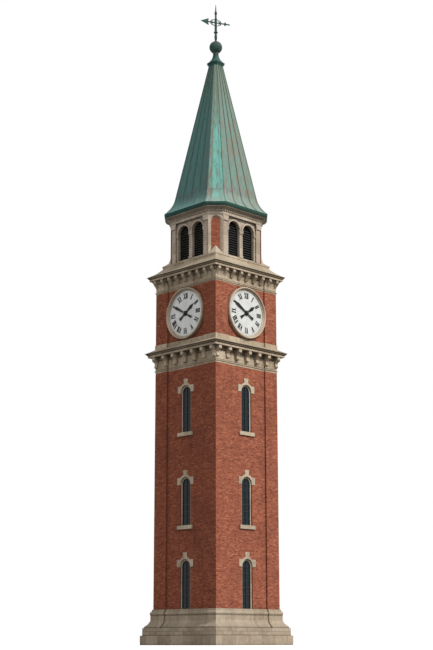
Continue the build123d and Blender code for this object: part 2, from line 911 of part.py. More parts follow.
def arch_cut(middle, near, far, widen=0.0):
    """One belfry opening as a block to cut out."""
    return arched(2 * (arch_radius + widen), arch_foot - widen, arch_crown + widen, near, far, middle)


def impost(middle, reach, far):
    """A spreading block that an arch springs from, this far each side of its middle."""
    foot = arch_spring - mullion_cap_height
    steps = [
        (reach, foot),
        (reach + mullion_cap_proud, foot + mullion_cap_swell, -mullion_cap_hollow),
        (reach + mullion_cap_proud, arch_spring),
    ]
    near = arcade_face - louvre_setback + mullion_louvre_gap
    shape = extrude(outline(steps), amount=far - near, dir=(0, -1, 0))
    return Pos(middle, -near, 0) * shape


def arcade():
    """The front belfry wall between its pilasters, with two round arches, archivolts and imposts."""
    wall = block(
        -pilaster_inner, pilaster_inner, -arcade_face, -arcade_back, belfry_foot, belfry_top
    )
    ring_radius = arch_radius + archivolt_width
    ring_face = arcade_face + archivolt_proud
    for middle in arches:
        foot = arch_spring - impost_height
        wall += arched(2 * ring_radius, foot, arch_spring + ring_radius, arcade_face, ring_face, middle)
    for middle in arches:
        wall -= arch_cut(middle, arcade_back - 1, ring_face + 1)
    wall -= block(-mullion_half, mullion_half, -ring_face - 1, -arcade_back + 1, arch_foot, arch_spring)
    jamb_middle = pilaster_inner - arch_margin / 2
    bay = block(-pilaster_inner, pilaster_inner, -belfry_reach, -arcade_back, belfry_foot, belfry_top)
    for middle in (-jamb_middle, jamb_middle):
        wall += impost(middle, arch_margin / 2, arcade_face + mullion_cap_proud) & bay
    return wall


def mullion():
    """The square pier between two arches, with a foot and a spreading capital."""
    shaft_piece = block(-mullion_half, mullion_half, -arcade_face, -arcade_back, arch_foot, arch_spring)
    cap = impost(0, mullion_half, arcade_face + mullion_cap_proud)
    foot_reach = mullion_half + mullion_foot_proud
    base_piece = block(
        -foot_reach, foot_reach, -arcade_face - mullion_foot_proud,
        -arcade_face + louvre_setback - mullion_louvre_gap, arch_foot, arch_foot + mullion_foot_height,
    )
    return shaft_piece + cap + base_piece


def louvre(middle):
    """One louvre: an arched frame that holds sloping blades."""
    far = arcade_face - louvre_setback
    near = far - louvre_depth
    inner = arch_cut(middle, near - 1, far + 1, -louvre_play - louvre_frame)
    frame = arch_cut(middle, near, far, -louvre_play) - inner
    run = louvre_depth / cos(radians(louvre_tilt))
    clear = arch_crown - arch_foot - 2 * louvre_frame
    count = ceil(clear / louvre_pitch)
    blades = None
    for number in range(count):
        height = arch_foot + louvre_frame + (number + 0.5) * clear / count
        blade = Box(2 * arch_radius, run, louvre_blade)
        blade = Pos(middle, -(near + far) / 2, height) * Rot(louvre_tilt, 0, 0) * blade
        blades = blade if blades is None else blades + blade
    room = arch_cut(middle, near + louvre_play, far - louvre_play, -louvre_play - louvre_frame / 2)
    return frame + (blades & room)


def broach():
    """A pyramid with a hollow ridge, from the square corner up to the middle of the cut face."""
    tip = block_half
    cut = belfry_corner_reach * ROOT2 - block_half
    reach = (tip - cut) / 2
    hollow = tip - reach * broach_hollow_run
    corner = (tip, -tip, belfry_foot)
    left = (cut, -tip, belfry_foot)
    right = (tip, -cut, belfry_foot)
    ridge = (hollow, -hollow, belfry_foot + broach_height * broach_hollow_rise)
    peak = (tip - reach, reach - tip, belfry_foot + broach_height)
    sides = [
        (left, corner, ridge),
        (left, ridge, peak),
        (corner, right, ridge),
        (right, peak, ridge),
        (left, peak, right),
        (left, right, corner),
    ]
    return Solid(Shell([make_face(Polyline(*side, close=True)).face() for side in sides]))


def belfry():
    """Eight sides: four arcades with louvres, four cut corners with brick panels, and an entablature."""
    save("belfry_corners", separate(each_face(belfry_corner())))
    strip = margin_strip(margin_setback)
    strips = each_face(strip) + each_face(mirror_over_corner(strip))
    save("belfry_brick_panels", separate(each_face(corner_brick()) + strips))
    save("corner_broaches", separate(each_face(broach())))
    right_capital = capital()
    left_capital = mirror(right_capital, Plane.YZ)
    save("belfry_capitals", separate(each_face(right_capital) + each_face(left_capital)))
    save_faces("belfry_arcade", arcade())
    save("belfry_mullions", separate(each_face(mullion())))
    louvres = [copy for middle in arches for copy in each_face(louvre(middle))]
    save("belfry_louvres", separate(louvres))
    reach = belfry_reach + belfry_frieze_reach
    frieze = moulded_octagon([(reach, belfry_top), (reach, belfry_cornice_foot)], belfry_corner_step)
    hollow = shaft_hole(arcade_back, belfry_top - 1, eave_foot + 1)
    save("belfry_frieze", frieze - hollow)
    bed_reach = reach + belfry_bed_reach
    corona_reach = belfry_reach + belfry_cornice_reach
    steps = [
        (bed_reach, belfry_cornice_foot),
        (bed_reach, belfry_cornice_foot + belfry_bed_height),
        (corona_reach, eave_foot - belfry_corona_height, -belfry_cornice_hollow),
        (corona_reach, eave_foot),
    ]
    save("belfry_cornice", moulded_octagon(steps, belfry_corner_step) - hollow)


# ---- copper roof -------------------------------------------------------------------------------
def slope_line(share):
    """The outer line of a slope, side on, from the eave up: an arc that straightens into the spire."""
    bend = Vector(spire_top_radius + straight_fall * (spire_height - flare_start), roof_foot + flare_start)
    eave = Vector(eave_corner_reach, roof_foot)
    chord = eave - bend
    across = Vector(1, straight_fall).normalized()
    radius = chord.length**2 / (2 * across.dot(chord))
    centre = bend + across * radius
    mid = centre + ((bend + eave) / 2 - centre).normalized() * radius
    return (
        (eave.X * share, eave.Y),
        (mid.X * share, mid.Y),
        (bend.X * share, bend.Y),
        (spire_top_radius * share, spire_top),
    )


def roof_slope(share, half_angle):
    """A boarded slope: its side view run across, cut to a wedge that meets its neighbours."""
    eave, mid, bend, top = slope_line(share)
    back = slope_thickness * share
    side = [
        ThreePointArc(eave, mid, bend),
        Line(bend, top),
        Line(top, (top[0] - back, top[1])),
        Line((top[0] - back, top[1]), (bend[0] - back, bend[1])),
        ThreePointArc((bend[0] - back, bend[1]), (mid[0] - back, mid[1]), (eave[0] - back, eave[1])),
        Line((eave[0] - back, eave[1]), eave),
    ]
    face = Plane((0, 0, 0), x_dir=(0, -1, 0), z_dir=(-1, 0, 0)) * make_face(side)
    run = extrude(face, amount=run_length / 4, both=True)
    far = run_length / 4
    edge = far * tan(half_angle)
    plan = make_face(Polyline((0, 0), (edge, -far), (-edge, -far), close=True))
    wedge = Pos(0, 0, roof_foot - 1) * extrude(plan, amount=spire_height + 2)
    return run & wedge


def roof():
    """The eave plate and the eight slopes of the hollow spire."""
    steps = [
        (eave_reach - eave_drip_setback, eave_foot),
        (eave_reach, eave_foot + eave_drip_height),
        (eave_reach, roof_foot),
    ]
    plate = moulded_octagon(steps, eave_corner_reach - eave_reach)
    inner = eave_reach - eave_plate_width
    save("roof_eave", plate - shaft_hole(inner, eave_foot - 1, roof_foot + 1))
    edge_share = ROOT2 / roof_share - 1
    main_half = atan(edge_share)
    corner_half = pi / 4 - main_half
    save("spire_main_slopes", separate(each_face(roof_slope(roof_share, main_half))))
    corner = Rot(0, 0, 45) * roof_slope(1.0, corner_half)
    save("spire_corner_slopes", separate(each_face(corner)))


# ---- finial and weathervane --------------------------------------------------------------------
def turned(side):
    """A turned piece: its right-hand outline, radius and height, spun about the mast."""
    edges = []
    for start, end in zip(side, side[1:]):
        a = Vector(start[0], 0, start[1])
        b = Vector(end[0], 0, end[1])
        if len(end) == 3:
            out = Vector(b.Z - a.Z, 0, a.X - b.X).normalized()
            edges.append(ThreePointArc(a, (a + b) / 2 + out * end[2], b))
        else:
            edges.append(Line(a, b))
    low, high = side[0], side[-1]
    edges.append(Line((high[0], 0, high[1]), (0, 0, high[1])))
    edges.append(Line((0, 0, high[1]), (0, 0, low[1])))
    edges.append(Line((0, 0, low[1]), (low[0], 0, low[1])))
    return revolve(make_face(edges), Axis.Z, 360)


def finial():
    """A flared collar, a bell and a neck; a copper ball; and the mast over it with its knops."""
    foot = spire_top
    ball_foot = foot + ball_rise - sqrt(ball_radius**2 - neck_radius**2)
    ball_top = foot + ball_rise + sqrt(ball_radius**2 - rod_foot_radius**2)
    collar = [
        (spire_top_radius, foot),
        (collar_flare_radius, foot + collar_flare_rise, -collar_flare_hollow),
        (collar_flare_radius, foot + collar_flare_rise + collar_edge_height),
        (collar_roof_radius, foot + collar_roof_rise, -collar_roof_hollow),
        (bell_radius, foot + bell_rise),
        (neck_radius, foot + neck_rise, -bell_hollow),
    ]
    neck = Pos(0, 0, (foot + neck_rise + ball_foot) / 2) * Cylinder(
        neck_radius, ball_foot - foot - neck_rise
    )
    save("finial_collar", faceted(collar, roof_share) + neck)
    middle = foot + ball_rise
    ball = [
        (neck_radius, ball_foot),
        (ball_radius, middle, bow_of(neck_radius, ball_foot, ball_radius, middle)),
        (rod_foot_radius, ball_top, bow_of(ball_radius, middle, rod_foot_radius, ball_top)),
    ]
    save("finial_ball", turned(ball))
    sleeve_foot = foot + vane_rise - sleeve_length / 2
    knop = foot + lower_knop_rise
    top_knop = foot + upper_knop_rise
    rod = [
        (rod_foot_radius, ball_top),
        (rod_neck_radius, ball_top + rod_neck_rise, -rod_neck_hollow),
        (rod_swell_radius, foot + rod_swell_rise, rod_swell_bow),
        (lower_knop_foot_radius, knop - lower_knop_foot_drop),
        (lower_knop_radius, knop - knop_band / 2, knop_bow),
        (lower_knop_radius, knop + knop_band / 2),
        (rod_socket_radius, knop + rod_socket_rise, knop_bow),
        (rod_socket_radius, sleeve_foot - sleeve_gap),
        (rod_radius, sleeve_foot - sleeve_gap),
        (rod_radius, top_knop - upper_knop_reach),
        (upper_knop_radius, top_knop - upper_knop_band / 2, upper_knop_bow),
        (upper_knop_radius, top_knop + upper_knop_band / 2),
        (rod_tip_foot_radius, top_knop + upper_knop_reach, upper_knop_bow),
        (rod_tip_radius, foot + rod_tip_rise),
    ]
    save("vane_mast", turned(rod))


def bow_of(r0, z0, r1, z1):
    """How far a circle about the ball's middle bows out from the chord between two of its points."""
    chord = sqrt((r1 - r0) ** 2 + (z1 - z0) ** 2)
    return ball_radius - sqrt(ball_radius**2 - chord**2 / 4)


def vane():
    """The arrow that turns on the mast: sleeve, bar, head, tail lobes and two scrolled braces."""
    centre = spire_top + vane_rise
    shape = Cylinder(sleeve_radius, sleeve_length)
    bar_end = vane_head_reach - vane_head_length / 2
    bar_length = bar_end + vane_tail_reach
    bar_middle = (bar_end - vane_tail_reach) / 2
    shape += Pos(bar_middle, 0, 0) * Rot(0, 90, 0) * Cylinder(vane_bar_radius, bar_length)
    shape += vane_sheet(
        [
            (vane_head_reach, 0),
            (vane_head_reach - vane_head_length, vane_head_height / 2),
            (vane_head_reach - vane_head_length + vane_head_notch, 0),
            (vane_head_reach - vane_head_length, -vane_head_height / 2),
        ]
    )
    shape += vane_sheet(
        [
            (-vane_lobe_reach + vane_lobe_length / 2, 0),
            (-vane_lobe_reach, vane_lobe_height / 2),
            (-vane_lobe_reach - vane_lobe_length / 2, 0),
            (-vane_lobe_reach, -vane_lobe_height / 2),
        ]
    )
    shape += Pos(-vane_tail_reach, 0, 0) * Sphere(vane_tail_radius)
    outer = Cylinder(scroll_radius + scroll_bar / 2, vane_plate)
    inner = Cylinder(scroll_radius - scroll_bar / 2, vane_plate + 2)
    shape += Rot(90, 0, 0) * (outer - inner)
    shape -= Cylinder(rod_radius + vane_play, sleeve_length + vane_plate)
    return Pos(0, 0, centre) * Rot(0, 0, vane_heading) * shape


def vane_sheet(points):
    """A flat plate in the arrow's upright plane."""
    face = make_face(Polyline(*[(x, 0, z) for x, z in points], close=True))
    return extrude(face, amount=vane_plate / 2, both=True)


base()
shaft()
windows()
floors()
lower_cornice()
clock_stage()
upper_cornice()
belfry()
roof()
finial()
save("weathervane", vane())
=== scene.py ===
"""A square brick clock tower with a stone base, bracketed cornices, a louvred belfry and a copper spire.

Metres, +Z up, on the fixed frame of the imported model. The front faces -Y.
"""

import bpy
import numpy as np
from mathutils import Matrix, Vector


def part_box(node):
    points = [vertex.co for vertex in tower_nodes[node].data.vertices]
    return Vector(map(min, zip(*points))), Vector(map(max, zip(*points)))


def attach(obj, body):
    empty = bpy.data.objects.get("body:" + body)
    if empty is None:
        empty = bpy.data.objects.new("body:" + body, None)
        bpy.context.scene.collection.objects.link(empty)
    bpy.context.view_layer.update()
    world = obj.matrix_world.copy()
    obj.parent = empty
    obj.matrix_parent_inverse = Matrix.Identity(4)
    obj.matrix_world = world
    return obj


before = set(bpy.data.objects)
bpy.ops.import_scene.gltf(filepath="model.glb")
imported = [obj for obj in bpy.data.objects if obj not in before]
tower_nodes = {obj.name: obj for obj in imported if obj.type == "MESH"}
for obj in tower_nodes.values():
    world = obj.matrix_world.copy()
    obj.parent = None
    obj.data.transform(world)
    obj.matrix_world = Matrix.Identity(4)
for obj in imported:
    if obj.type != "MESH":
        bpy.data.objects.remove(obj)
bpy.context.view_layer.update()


# ---- stone base ------------------------------------------------------------------------------------
# A solid ground course, a plinth course and a swept moulding with a torus, cut from warm grey limestone.
# The blocks are bedded in thin lime joints, each a little different in colour, and streaked by rain.
def join(tree, kind, inputs, **settings):
    """Adds a shader node with its settings; each input, by name or number, gets its socket or value."""
    made = tree.nodes.new("ShaderNode" + kind)
    for name, value in settings.items():
        setattr(made, name, value)
    for name, value in inputs.items():
        if isinstance(value, bpy.types.NodeSocket):
            tree.links.new(value, made.inputs[name])
        else:
            made.inputs[name].default_value = value
    return made


def tree_of(*values):
    """The node tree that the first socket among the values belongs to."""
    return next(value.id_data for value in values if isinstance(value, bpy.types.NodeSocket))


def sum_of(operation, a, b=0.0, c=0.0):
    """One step of arithmetic on values: the operation on a, b and c."""
    return join(tree_of(a, b, c), "Math", {0: a, 1: b, 2: c}, operation=operation).outputs[0]


def product(a, b):
    """a times b."""
    return sum_of("MULTIPLY", a, b)


def total(a, b):
    """a and b together."""
    return sum_of("ADD", a, b)


def less(a, b):
    """a less b."""
    return sum_of("SUBTRACT", a, b)


def scaled(a, b, c):
    """a times b, with c added."""
    return sum_of("MULTIPLY_ADD", a, b, c)


def blended(factor, a, b, mode="MIX"):
    """Colour a turned into colour b by the factor."""
    settings = {"data_type": "RGBA", "blend_type": mode, "clamp_factor": True}
    return join(tree_of(factor, a, b), "Mix", {0: factor, 6: a, 7: b}, **settings).outputs[2]


def eased(value, low, high, to_low=0.0, to_high=1.0):
    """The value read between low and high, eased at both ends, and spread over the new range."""
    inputs = {0: value, 1: low, 2: high, 3: to_low, 4: to_high}
    return join(tree_of(value), "MapRange", inputs, interpolation_type="SMOOTHSTEP").outputs[0]


def clouded(place, scale, detail=3.0, roughness=0.55):
    """Soft noise at a place, from 0 to 1."""
    inputs = {"Vector": place, "Scale": scale, "Detail": detail, "Roughness": roughness}
    return join(tree_of(place), "TexNoise", inputs).outputs[0]


def placed(x, y, z=0.0):
    """Three values as one place."""
    return join(tree_of(x, y, z), "CombineXYZ", {0: x, 1: y, 2: z}).outputs[0]


def packed(along, up, side, close, tall):
    """A place for noise on one side of the tower, packed closer along and up it by the two factors."""
    return placed(product(along, close), product(up, tall), side)


def effect(name, inputs, outputs):
    """An empty node group with its named inputs (name, kind, value) and outputs (name, kind)."""
    tree = bpy.data.node_groups.new(name, "ShaderNodeTree")
    for label, kind, value in inputs:
        socket = tree.interface.new_socket(label, in_out="INPUT", socket_type="NodeSocket" + kind)
        socket.default_value = value
    for label, kind in outputs:
        tree.interface.new_socket(label, in_out="OUTPUT", socket_type="NodeSocket" + kind)
    return tree, tree.nodes.new("NodeGroupInput").outputs, tree.nodes.new("NodeGroupOutput").inputs


def put_out(tree, outputs, **values):
    """Joins each value to the group's output of that name."""
    for name, value in values.items():
        tree.links.new(value, outputs[name])


def in_group(tree, group, **values):
    """Places an effect in a tree with its own values; an underscore in a name stands for a space."""
    made = tree.nodes.new("ShaderNodeGroup")
    made.node_tree = group
    for name, value in values.items():
        label = name.replace("_", " ")
        if isinstance(value, bpy.types.NodeSocket):
            tree.links.new(value, made.inputs[label])
        else:
            made.inputs[label].default_value = value
    return made.outputs


# Along runs level round the walls and Up climbs them, in metres; Face is a whole number for each side:
# front 3, right 5, back -3, left -5, and front right 6, back right 1, back left -6, front left -1.
wall_run, _, run_out = effect("wall run", [], [("Along", "Float"), ("Up", "Float"), ("Face", "Float")])
coords = join(wall_run, "TexCoord", {})
level = join(
    wall_run, "VectorMath", {0: (0, 0, 1), 1: coords.outputs["Normal"]}, operation="CROSS_PRODUCT"
)
level = join(wall_run, "VectorMath", {0: level.outputs[0]}, operation="NORMALIZE").outputs[0]
across = join(wall_run, "VectorMath", {0: coords.outputs["Object"], 1: level}, operation="DOT_PRODUCT")
spot = join(wall_run, "SeparateXYZ", {0: coords.outputs["Object"]}).outputs
facing = join(wall_run, "SeparateXYZ", {0: coords.outputs["Normal"]}).outputs
flat = sum_of("GREATER_THAN", sum_of("ABSOLUTE", facing[2]), 0.95)
steep = less(1.0, flat)
sides = join(wall_run, "VectorMath", {0: level, 1: (3.0, 5.0, 0.0)}, operation="DOT_PRODUCT")
put_out(
    wall_run, run_out, Along=scaled(flat, spot[0], product(steep, across.outputs["Value"])),
    Up=scaled(flat, spot[1], product(steep, spot[2])), Face=sum_of("ROUND", sides.outputs["Value"]),
)

# Blocks or bricks in courses: a random tint for each, and a mask that is 1 in the joints.
coursed, given, made = effect(
    "coursed blocks",
    [
        ("Length", "Float", 1.0), ("Height", "Float", 0.5), ("Foot", "Float", 0.0),
        ("Joint", "Float", 0.01),
    ],
    [("Tint", "Float"), ("Second Tint", "Float"), ("Joint", "Float")],
)
run = in_group(coursed, wall_run)
rise = sum_of("DIVIDE", less(run["Up"], given["Foot"]), given["Height"])
row = sum_of("FLOOR", rise)
shift = scaled(sum_of("FLOORED_MODULO", row, 2.0), 0.5, 0.5)
reach = total(sum_of("DIVIDE", run["Along"], given["Length"]), shift)
column = sum_of("FLOOR", reach)
which = placed(column, row, run["Face"])
luck = join(coursed, "TexWhiteNoise", {"Vector": which}, noise_dimensions="3D")
more = join(coursed, "SeparateColor", {0: luck.outputs["Color"]}).outputs


def edge_gap(share, size):
    """Metres to the nearer edge, where share is how far along the block a point is, from 0 to 1."""
    inner = sum_of("FRACT", share)
    return product(sum_of("MINIMUM", inner, less(1.0, inner)), size)


gap = sum_of("MINIMUM", edge_gap(reach, given["Length"]), edge_gap(rise, given["Height"]))
half_joint = product(given["Joint"], 0.5)
put_out(
    coursed, made, Tint=luck.outputs["Value"], **{"Second Tint": more[1]},
    Joint=eased(gap, half_joint, total(half_joint, 0.004), 1.0, 0.0),
)

# Limestone: tinted blocks with clouds of grey and rain streaks, painted shade with some grime under
# ledges and in corners, and soot with painted shade on one band.
honey = (0.52, 0.37, 0.23, 1)  # the warmer blocks
rain_grime = (0.15, 0.12, 0.085, 1)
# painted shade on faces turned down, with grime where no rain washes them
underside_grime_and_shade = (0.13, 0.105, 0.075, 1)  # where no rain washes it
ledge_dust = (0.27, 0.245, 0.185, 1)
# soot with painted shade, for the band under an overhang
soot_and_shade_black = (0.085, 0.066, 0.036, 1)
# a dark bed joint, widened with painted shade
bed_joint_and_shade_black = (0.075, 0.06, 0.042, 1)
# painted shade with some grime, in corners and recesses
nook_shade_and_grime = (0.10, 0.08, 0.055, 1)
joint_grey = (0.14, 0.115, 0.085, 1)
pore_brown = (0.16, 0.12, 0.085, 1)
limestone, given, made = effect(
    "limestone",
    [
        ("Pale", "Color", (1, 1, 1, 1)), ("Deep", "Color", (1, 1, 1, 1)), ("Length", "Float", 1.0),
        ("Height", "Float", 0.5), ("Foot", "Float", 0.0), ("Joint", "Float", 0.008),
        ("Streaks", "Float", 0.5), ("Sooty Foot", "Float", 0.0), ("Sooty Top", "Float", 0.0),
        ("Bed", "Float", -9.0), ("Nooks", "Float", 0.8), ("Undersides", "Float", 0.55),
    ],
    [("Color", "Color"), ("Roughness", "Float"), ("Height", "Float")],
)
blocks = in_group(
    limestone, coursed, Length=given["Length"], Height=given["Height"], Foot=given["Foot"],
    Joint=given["Joint"],
)
run = in_group(limestone, wall_run)
coords = join(limestone, "TexCoord", {})
place = coords.outputs["Object"]
cloud = clouded(place, 0.8, 4.0)
blotch = clouded(place, 5.0, 4.0, 0.6)
grain = clouded(place, 55.0, 4.0, 0.7)
rain_place = packed(run["Along"], run["Up"], run["Face"], 7.0, 0.6)
rain = clouded(rain_place, 1.0, 4.0, 0.6)
mix = 0.5
for tone, weight in ((blocks["Tint"], 0.60), (cloud, 1.3), (blotch, 1.1), (grain, 0.6)):
    mix = scaled(less(tone, 0.5), weight, mix)
colour = blended(mix, given["Deep"], given["Pale"])
warmth = product(blocks["Second Tint"], 0.22)
colour = blended(warmth, colour, honey)
streak = product(eased(rain, 0.48, 0.72), given["Streaks"])
colour = blended(product(streak, 0.6), colour, rain_grime)
# Faces turned down are darkened: painted shade, with grime where no rain washes them.
under = join(limestone, "SeparateXYZ", {0: coords.outputs["Normal"]}).outputs[2]
underside_shade = product(eased(under, -0.15, -0.9), given["Undersides"])
colour = blended(underside_shade, colour, underside_grime_and_shade)
colour = blended(eased(under, 0.25, 0.9, 0.0, 0.5), colour, ledge_dust)
# A band between Sooty Foot and Sooty Top is blackened: soot, with painted shade where an overhang above
# shades it.
ragged = scaled(less(rain, 0.5), 0.12, run["Up"])
above = sum_of("GREATER_THAN", ragged, given["Sooty Foot"])
below = sum_of("LESS_THAN", ragged, given["Sooty Top"])
middle = scaled(total(given["Sooty Foot"], given["Sooty Top"]), -0.5, ragged)
depth = less(given["Sooty Top"], given["Sooty Foot"])
edge = sum_of("DIVIDE", sum_of("ABSOLUTE", middle), sum_of("MAXIMUM", depth, 0.01))
soot = product(product(above, below), eased(blotch, 0.2, 0.6, 0.6, 0.95))
soot = product(soot, eased(edge, 0.18, 0.36, 0.5, 1.0))
colour = blended(soot, colour, soot_and_shade_black)
# One bed joint is darkened as a wide line: the joint, widened with painted shade at the foot of the
# course.
bed = sum_of("ABSOLUTE", less(run["Up"], given["Bed"]))
bed = product(eased(bed, 0.018, 0.04, 0.85, 0.0), eased(rain, 0.25, 0.55, 0.5, 1.0))
colour = blended(bed, colour, bed_joint_and_shade_black)
# Darker where ambient occlusion finds corners and recesses: painted shade, with some grime.
occlusion_shade = join(limestone, "AmbientOcclusion", {"Distance": 0.28}, samples=4).outputs["AO"]
occlusion_shade = total(occlusion_shade, product(blotch, 0.2))
occlusion_shade = product(eased(occlusion_shade, 0.9, 0.45), given["Nooks"])
colour = blended(occlusion_shade, colour, nook_shade_and_grime)
colour = blended(product(blocks["Joint"], 0.7), colour, joint_grey)
pores = eased(clouded(place, 26.0, 2.0, 0.5), 0.66, 0.74)
colour = blended(product(pores, 0.35), colour, pore_brown)
height = scaled(pores, -0.3, product(grain, 0.35))
height = less(height, blocks["Joint"])
put_out(limestone, made, Color=colour, Height=height, Roughness=scaled(grain, 0.2, 0.72))

stone_pale = (0.62, 0.52, 0.405, 1)
stone_deep = (0.33, 0.26, 0.185, 1)


def finish(name, group, relief, settings=None, **values):
    """A material whose colour, roughness and relief (its depth in metres) come from one effect."""
    material = bpy.data.materials.new(name)
    material.use_nodes = True
    tree = material.node_tree
    shader = tree.nodes["Principled BSDF"]
    out = in_group(tree, group, **values)
    tree.links.new(out["Color"], shader.inputs["Base Color"])
    tree.links.new(out["Roughness"], shader.inputs["Roughness"])
    bump = join(tree, "Bump", {"Height": out["Height"], "Distance": relief, "Strength": 1.0})
    tree.links.new(bump.outputs[0], shader.inputs["Normal"])
    for label, value in (settings or {}).items():
        shader.inputs[label].default_value = value
    return material


def coat(material, *names):
    """Gives CAD pieces their finish."""
    for name in names:
        piece = tower_nodes[name]
        piece.data.materials.clear()
        piece.data.materials.append(material)


def laid_stone(
    name, length, height, foot, streaks=0.5, joint=0.014, soot_shade_band=(0.0, 0.0), bed=-9.0, tone=1.0,
    nook_shade_amount=0.8, underside_shade_amount=0.55, chalk=0.0,
):
    """Limestone in courses of one height: black with soot and painted shade between two heights, and
    painted shade along one bed joint.
    """
    cooler = np.array([tone, tone * (1 + 0.3 * chalk), tone * (1 + chalk)])
    pale, deep = ((*(cooler * shade[:3]), 1) for shade in (stone_pale, stone_deep))
    return finish(
        name, limestone, 0.004, {"Specular IOR Level": 0.12}, Pale=pale, Deep=deep, Length=length,
        Height=height, Foot=foot, Joint=joint, Streaks=streaks, Sooty_Foot=soot_shade_band[0], Sooty_Top=soot_shade_band[1],
        Bed=bed, Nooks=nook_shade_amount, Undersides=underside_shade_amount,
    )


plinth_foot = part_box("plinth_course")[0].z
moulding_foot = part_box("base_moulding")[0].z
coat(
    laid_stone("ground course stone", length=1.02, height=2.0, foot=-0.7, streaks=0.35, tone=0.93),
    "ground_course",
)
coat(
    laid_stone(
        "plinth course stone", length=0.68, height=0.215, foot=plinth_foot, streaks=0.45,
        bed=plinth_foot, tone=0.95,
    ),
    "plinth_course",
)
# Its dark band at 1.58 to 1.64 m is a painted shadow under the torus.
coat(
    laid_stone(
        "base moulding stone", length=0.78, height=2.0, foot=0.3, streaks=0.6, soot_shade_band=(1.580, 1.640),
        bed=moulding_foot, tone=0.95,
    ),
    "base_moulding",
)


# ---- brick walls -----------------------------------------------------------------------------------
# Four corner piers and the panels between them, in hard red brick with narrow joints in running bond.
# The kiln left some bricks dark and some orange; soot and rain have dulled them in broad patches.
fired_orange = (0.56, 0.21, 0.12, 1)
fired_dark = (0.17, 0.042, 0.028, 1)
brick_soot = (0.11, 0.042, 0.03, 1)
# brick_nook_shade: painted shade in corners and recesses
brick_nook_shade = (0.08, 0.03, 0.022, 1)
# painted shade for the sides away from the lamp
brick_shaded_side = (0.84, 0.80, 0.76, 1)
brickwork, given, made = effect(
    "brickwork",
    [("Red", "Color", (1, 1, 1, 1)), ("Mortar", "Color", (1, 1, 1, 1)), ("Soot", "Float", 0.3)],
    [("Color", "Color"), ("Roughness", "Float"), ("Height", "Float")],
)
bricks = in_group(brickwork, coursed, Length=0.225, Height=0.075, Foot=0.005, Joint=0.009)
coords = join(brickwork, "TexCoord", {})
place = coords.outputs["Object"]
run = in_group(brickwork, wall_run)
kiln = join(brickwork, "ValToRGB", {0: bricks["Tint"]})
stops = kiln.color_ramp.elements
stops[0].color = (0.50, 0.44, 0.46, 1)
stops[1].color = (1.50, 1.90, 1.80, 1)
for spot_at, shade in (
    (0.18, (0.78, 0.72, 0.72, 1)), (0.50, (0.98, 0.95, 0.95, 1)), (0.84, (1.20, 1.30, 1.26, 1))
):
    stops.new(spot_at).color = shade
colour = blended(1.0, given["Red"], kiln.outputs[0], "MULTIPLY")
patch = clouded(place, 0.55, 4.0, 0.6)
mottle_place = packed(run["Along"], run["Up"], run["Face"], 7.0, 19.0)
mottle = clouded(mottle_place, 1.0, 5.0, 0.8)
skin = clouded(place, 38.0, 3.0, 0.6)
colour = blended(eased(mottle, 0.47, 0.62, 0.0, 0.8), colour, fired_orange)
colour = blended(eased(mottle, 0.49, 0.36, 0.0, 0.8), colour, fired_dark)
colour = blended(product(bricks["Joint"], 0.7), colour, given["Mortar"])
rain_place = packed(run["Along"], run["Up"], run["Face"], 3.0, 0.22)
rain = clouded(rain_place, 1.0, 4.0, 0.6)
dirt = total(eased(patch, 0.42, 0.75, 0.0, 0.6), eased(rain, 0.5, 0.8, 0.0, 0.6))
colour = blended(product(dirt, given["Soot"]), colour, brick_soot)
# Darker where ambient occlusion finds corners and recesses: painted shade.
occlusion_shade = join(brickwork, "AmbientOcclusion", {"Distance": 0.24}, samples=4).outputs["AO"]
colour = blended(eased(occlusion_shade, 0.95, 0.45, 0.0, 0.5), colour, brick_nook_shade)
# The left side and the back left corner, away from the lamp, are made a little darker: painted shade.
shaded_side = sum_of("LESS_THAN", run["Face"], -4.0)
colour = blended(shaded_side, colour, brick_shaded_side, "MULTIPLY")
relief = scaled(bricks["Second Tint"], 0.35, product(skin, 0.25))
put_out(
    brickwork, made, Color=colour, Height=less(relief, bricks["Joint"]),
    Roughness=scaled(skin, 0.2, 0.74),
)

red_brick, clock_brick = (
    finish(
        name, brickwork, 0.004, {"Specular IOR Level": 0.12}, Red=red, Mortar=(0.27, 0.13, 0.085, 1),
        Soot=soot,
    )
    for name, red, soot in (
        ("red brick", (0.375, 0.105, 0.060, 1), 0.45),
        ("clock stage brick", (0.405, 0.116, 0.066, 1), 0.35),
    )
)
faces = ("front", "right", "back", "left")
coat(red_brick, "shaft_corner_piers", "belfry_brick_panels", *["shaft_wall_" + f for f in faces])
coat(clock_brick, "clock_corner_piers", *["clock_wall_" + f for f in faces])


# ---- windows ---------------------------------------------------------------------------------------
# Stone hoods with shoulders and a tall keystone, stone linings inside the brick, and blocks for sills.
# Each pane is a leaded light: a thin iron frame with a centre bar and cross bars stands on the glass.
window_stone = laid_stone(
    "window dressings stone", length=3.1, height=2.9, foot=0.4, streaks=0.25, joint=0.001, tone=1.25,
    nook_shade_amount=0.25,
)
coat(window_stone, "window_hoods", "window_linings", "window_sills")

